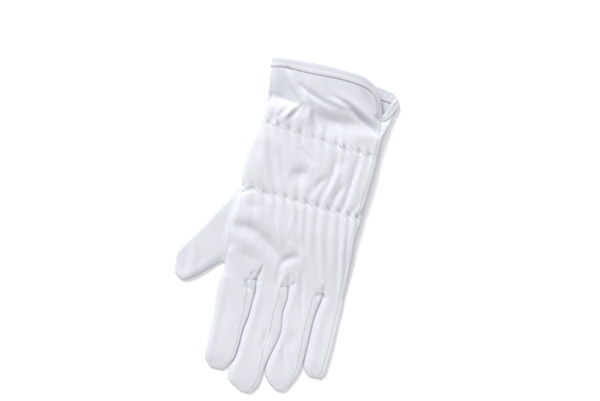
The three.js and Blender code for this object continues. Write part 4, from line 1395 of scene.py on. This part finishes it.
seams = seam_edges(outer_sheet["faces"], outer_sheet["labels"])
hem = PIECES.index("cuff_hem")
sewn = []
hem_line = []
for (start, end), pair in seams.items():
    if hem in pair:
        hem_line.append(start)
    elif not is_fold_side(points[[start, end]], pair):
        sewn.append(start)
places = points[:, :2]
lift = seam_lift(points, points[sewn])
lift += (pinch_lift(places) + folds_lift(places, True)) * facing(normals[:, 2], "marks")
pits = np.minimum(pinch_lift(places, UNDER_PINCHES), 0)
lift += UNDER["pinches"] * pits * facing(-normals[:, 2], "under")
points = along_normals(points, normals, lift)
set_coordinates(fine, points)
normals = normals_of(fine)

cloth = knit_material("white_knit", (0.762, 0.778, 0.825), (0.732, 0.748, 0.8), 0.01, 0.025)
binding = knit_material("hem_knit", (0.74, 0.755, 0.80), (0.71, 0.725, 0.775), 0.016, 0.03)
tape = knit_material("elastic_knit", (0.82, 0.82, 0.80), (0.72, 0.72, 0.71), 0.12, 0.05)

inner_points = along_normals(points, normals, -CLOTH, INSIDE["lowest"])
for number, label in enumerate(PIECES):
    if number == hem:
        continue
    outside = side_of(outer_sheet, labelled(outer_sheet, [number]), points, SEAM_BACK)
    inside = side_of(inner_sheet, labelled(inner_sheet, [number]), inner_points, INSIDE["back"])
    add_piece(wall(label + "_cloth", outside, inside, []), cloth, "cloth", label)

# The hem: a turned band that stands proud of the cloth, with a shallow channel in its middle
mouth = set(boundary_loops(outer_sheet["faces"]))
to_line = distances(points, points[hem_line])
to_mouth = distances(points, points[list(mouth)])
share = to_line / (to_line + to_mouth + 1e-6)
ridge = HEM["ridge"] * np.abs(np.sin(2 * math.pi * share)) ** HEM["ridge_power"]
hem_points = along_normals(points, normals, HEM["proud"] + ridge)
outside = side_of(outer_sheet, labelled(outer_sheet, [hem]), hem_points, SEAM_BACK)
inside = {**outside, "points": along_normals(points, normals, -HEM["depth"], HEM["lowest"])}
hem_tree = BVHTree.FromPolygons([tuple(point) for point in hem_points], outside["faces"])
add_piece(wall("cuff_hem_band", outside, inside, HEM["rim"], mouth), binding, "hem", "cuff_hem")


def elastic_band(name, row, node):
    """The tape inside a row of elastic, shirred with the cloth that it gathers."""
    offset = row_offset(row, points[:, :2])
    hand = labelled(inner_sheet, {PIECES.index("back_panel"), PIECES.index("palm_panel")})
    faces = inner_sheet["faces"]
    own = [index for index in hand if abs(offset[faces[index]].mean()) < TAPE["half"]]
    sides = []
    for depth in (CLOTH + TAPE["outside"], CLOTH + TAPE["inside"]):
        sides.append(side_of(inner_sheet, own, along_normals(points, normals, -depth, depth), 0))
    add_piece(wall(name, *sides, []), tape, "elastic", node)


elastic_band("wrist_tape", "wrist", "elastic_wrist")
elastic_band("cuff_tape", "cuff", "elastic_cuff")


def tube(path, radius, sides=6, is_loop=False):
    """Vertices and faces of a thread along a path; a loop closes on itself, the rest has caps."""
    path = np.array(path)
    count = len(path)
    ahead = np.roll(path, -1, 0) - np.roll(path, 1, 0)
    if not is_loop:
        ahead[0] = path[1] - path[0]
        ahead[-1] = path[-1] - path[-2]
    ahead /= np.linalg.norm(ahead, axis=1)[:, None]
    up = np.array([0.12, 0.09, 1])
    side = np.cross(ahead, up)
    side /= np.linalg.norm(side, axis=1)[:, None]
    over = np.cross(side, ahead)
    turns = np.arange(sides) * 2 * math.pi / sides
    rings = (
        path[:, None, :]
        + radius * np.cos(turns)[None, :, None] * side[:, None, :]
        + radius * np.sin(turns)[None, :, None] * over[:, None, :]
    )
    faces = []
    for ring in range(count if is_loop else count - 1):
        after = (ring + 1) % count
        for k in range(sides):
            n = (k + 1) % sides
            faces.append([
                ring * sides + k, after * sides + k, after * sides + n, ring * sides + n,
            ])
    if not is_loop:
        faces.append(list(range(sides)))
        faces.append([(count - 1) * sides + k for k in reversed(range(sides))])
    return rings.reshape(-1, 3), faces


def threads_mesh(name, paths, radius, is_loop=False):
    points = []
    faces = []
    for path in paths:
        more, more_faces = tube(path, radius, is_loop=is_loop)
        faces += [[corner + len(points) for corner in face] for face in more_faces]
        points += list(more)
    mesh = mesh_of(name, points, faces)
    for polygon in mesh.polygons:
        polygon.use_smooth = True
    return mesh


def even(curve, pitch):
    """A closed curve read at an even number of equal steps of about the pitch."""
    closed = np.vstack([curve, curve[:1]])
    length = np.concatenate([[0], np.cumsum(np.linalg.norm(np.diff(closed, axis=0), axis=1))])
    count = 2 * round(length[-1] / pitch / 2)
    at = np.arange(count) * length[-1] / count
    return np.stack([np.interp(at, length, closed[:, axis]) for axis in range(3)], 1)


# The threads. The hem's stitches dive into the cloth at their ends, and their row lies at a share
# of the way from the line under the hem to the mouth's edge.
ZIGZAG = {"pitch": 1.4, "half": 1.3, "steps": 5, "radius": 0.12, "samples": 600}
STITCH = {
    "pitch": 2.7,
    "length": 1.8,
    "steps": 4,
    "radius": 0.2,
    "stand": 0.05,
    "sunk": -0.18,
    "share": 0.16,
    "samples": 900,
}
outer_tree = BVHTree.FromPolygons([tuple(point) for point in points], outer_sheet["faces"])


def on_surface(tree, place, stand):
    location, normal, _, _ = tree.find_nearest(Vector(place))
    return np.array(location + normal * stand)


def laid_on(tree, place, inwards, reach=5):
    """The place on the surface where a thread that comes from outside first touches it."""
    start = Vector(place - inwards * reach)
    location = tree.ray_cast(start, Vector(inwards), 2 * reach)[0]
    return np.array(location) if location else on_surface(tree, place, 0)


def zigzag(name, row):
    y = ROWS[row]["y"]
    nearest = min(BODY_ROWS, key=lambda entry: abs(entry["y"] - y))
    section = {**nearest, "y": y, "lean": ROWS[row]["lean"]}
    turns = np.linspace(0, 2, ZIGZAG["samples"])[:-1]
    around = np.array([section_point(section, turn) for turn in turns])
    corners = even(around, ZIGZAG["pitch"])
    ahead = np.roll(corners, -1, 0) - np.roll(corners, 1, 0)
    inwards = np.cross(ahead, [0, -1, 0])
    inwards /= np.linalg.norm(inwards, axis=1)[:, None]
    corners[::2, 1] += ZIGZAG["half"]
    corners[1::2, 1] -= ZIGZAG["half"]
    path = []
    for index, (start, end) in enumerate(zip(corners, np.roll(corners, -1, 0))):
        for step in range(ZIGZAG["steps"]):
            place = start + (end - start) * step / ZIGZAG["steps"]
            path.append(laid_on(outer_tree, place, inwards[index]))
    path = np.array(path)
    path[:, 2] = np.maximum(path[:, 2], ZIGZAG["radius"])
    add_piece(threads_mesh(name, [path], ZIGZAG["radius"], True), thread, "cloth")


def hem_stitches(name):
    line = []
    for turn in np.linspace(0, 2, STITCH["samples"])[:-1]:
        low = mouth_point(turn, "h")
        high = mouth_point(turn, "m")
        line.append(low + (high - low) * STITCH["share"])
    starts = even(np.array(line), STITCH["pitch"])
    paths = []
    for start, end in zip(starts, np.roll(starts, -1, 0)):
        way = (end - start) / np.linalg.norm(end - start)
        path = []
        for step in range(STITCH["steps"] + 1):
            place = start + way * STITCH["length"] * step / STITCH["steps"]
            height = STITCH["sunk" if step in (0, STITCH["steps"]) else "stand"]
            path.append(on_surface(hem_tree, place, height))
            path[-1][2] = max(path[-1][2], STITCH["radius"])
        paths.append(path)
    add_piece(threads_mesh(name, paths, STITCH["radius"]), thread, "hem")


thread = thread_material("white_thread", (0.86, 0.86, 0.87), (0.74, 0.74, 0.76))
zigzag("wrist_zigzag", "wrist")
zigzag("cuff_zigzag", "cuff")
hem_stitches("hem_stitches")

# The camera looks straight down. Lengths are in millimetres and the roll is in degrees.
CAMERA = {"x": 12.6, "y": 25.4, "above": 1200, "glove_top": 8, "roll": 13, "lens": 90, "film": 36}
camera_data = bpy.data.cameras.new("camera")
camera_data.lens = CAMERA["lens"]
camera_data.sensor_width = CAMERA["film"]
camera = bpy.data.objects.new("camera", camera_data)
camera.location = (
    CAMERA["x"] * METRES,
    CAMERA["y"] * METRES,
    (CAMERA["above"] + CAMERA["glove_top"]) * METRES,
)
camera.rotation_euler = (0, 0, math.radians(CAMERA["roll"]))
bpy.context.scene.collection.objects.link(camera)
bpy.context.scene.camera = camera


def floor_material():
    material, tree, shader = new_material("pale_floor")
    grain = object_noise(tree, {"Scale": 60})
    set_inputs(tree, shader, {
        "Base Color": blended(tree, grain, (0.93, 0.93, 0.93), (0.96, 0.96, 0.96)),
        "Emission Color": (1, 1, 1, 1),
        "Emission Strength": 0.2,
        "Roughness": 0.9,
        "Specular IOR Level": 0.1,
    })
    return material


def sun(name, azimuth, elevation, spread, strength):
    """A large far softbox. Azimuth is counted from +X towards +Y, and all angles are in degrees."""
    data = bpy.data.lights.new(name, "SUN")
    data.energy = strength
    data.angle = math.radians(spread)
    lamp = bpy.data.objects.new(name, data)
    level = math.cos(math.radians(elevation))
    way = Vector((
        math.cos(math.radians(azimuth)) * level,
        math.sin(math.radians(azimuth)) * level,
        math.sin(math.radians(elevation)),
    ))
    lamp.location = way
    lamp.rotation_euler = (-way).to_track_quat("-Z", "Y").to_euler()
    bpy.context.scene.collection.objects.link(lamp)


# Half the floor's side, in metres.
FLOOR_HALF = 3
FLOOR_CORNERS = [(-1, -1), (1, -1), (1, 1), (-1, 1)]
floor_points = [(x * FLOOR_HALF, y * FLOOR_HALF, 0) for x, y in FLOOR_CORNERS]
floor_mesh = mesh_of("floor", floor_points, [[0, 1, 2, 3]])
floor_mesh.materials.append(floor_material())
link(floor_mesh)

sun("key", azimuth=125, elevation=42, spread=26, strength=2.6)
world = bpy.data.worlds.new("studio")
world.use_nodes = True
background = world.node_tree.nodes["Background"]
background.inputs["Color"].default_value = (1, 1, 1, 1)
background.inputs["Strength"].default_value = 0.5
bpy.context.scene.world = world
bpy.context.scene.view_settings.view_transform = "Standard"
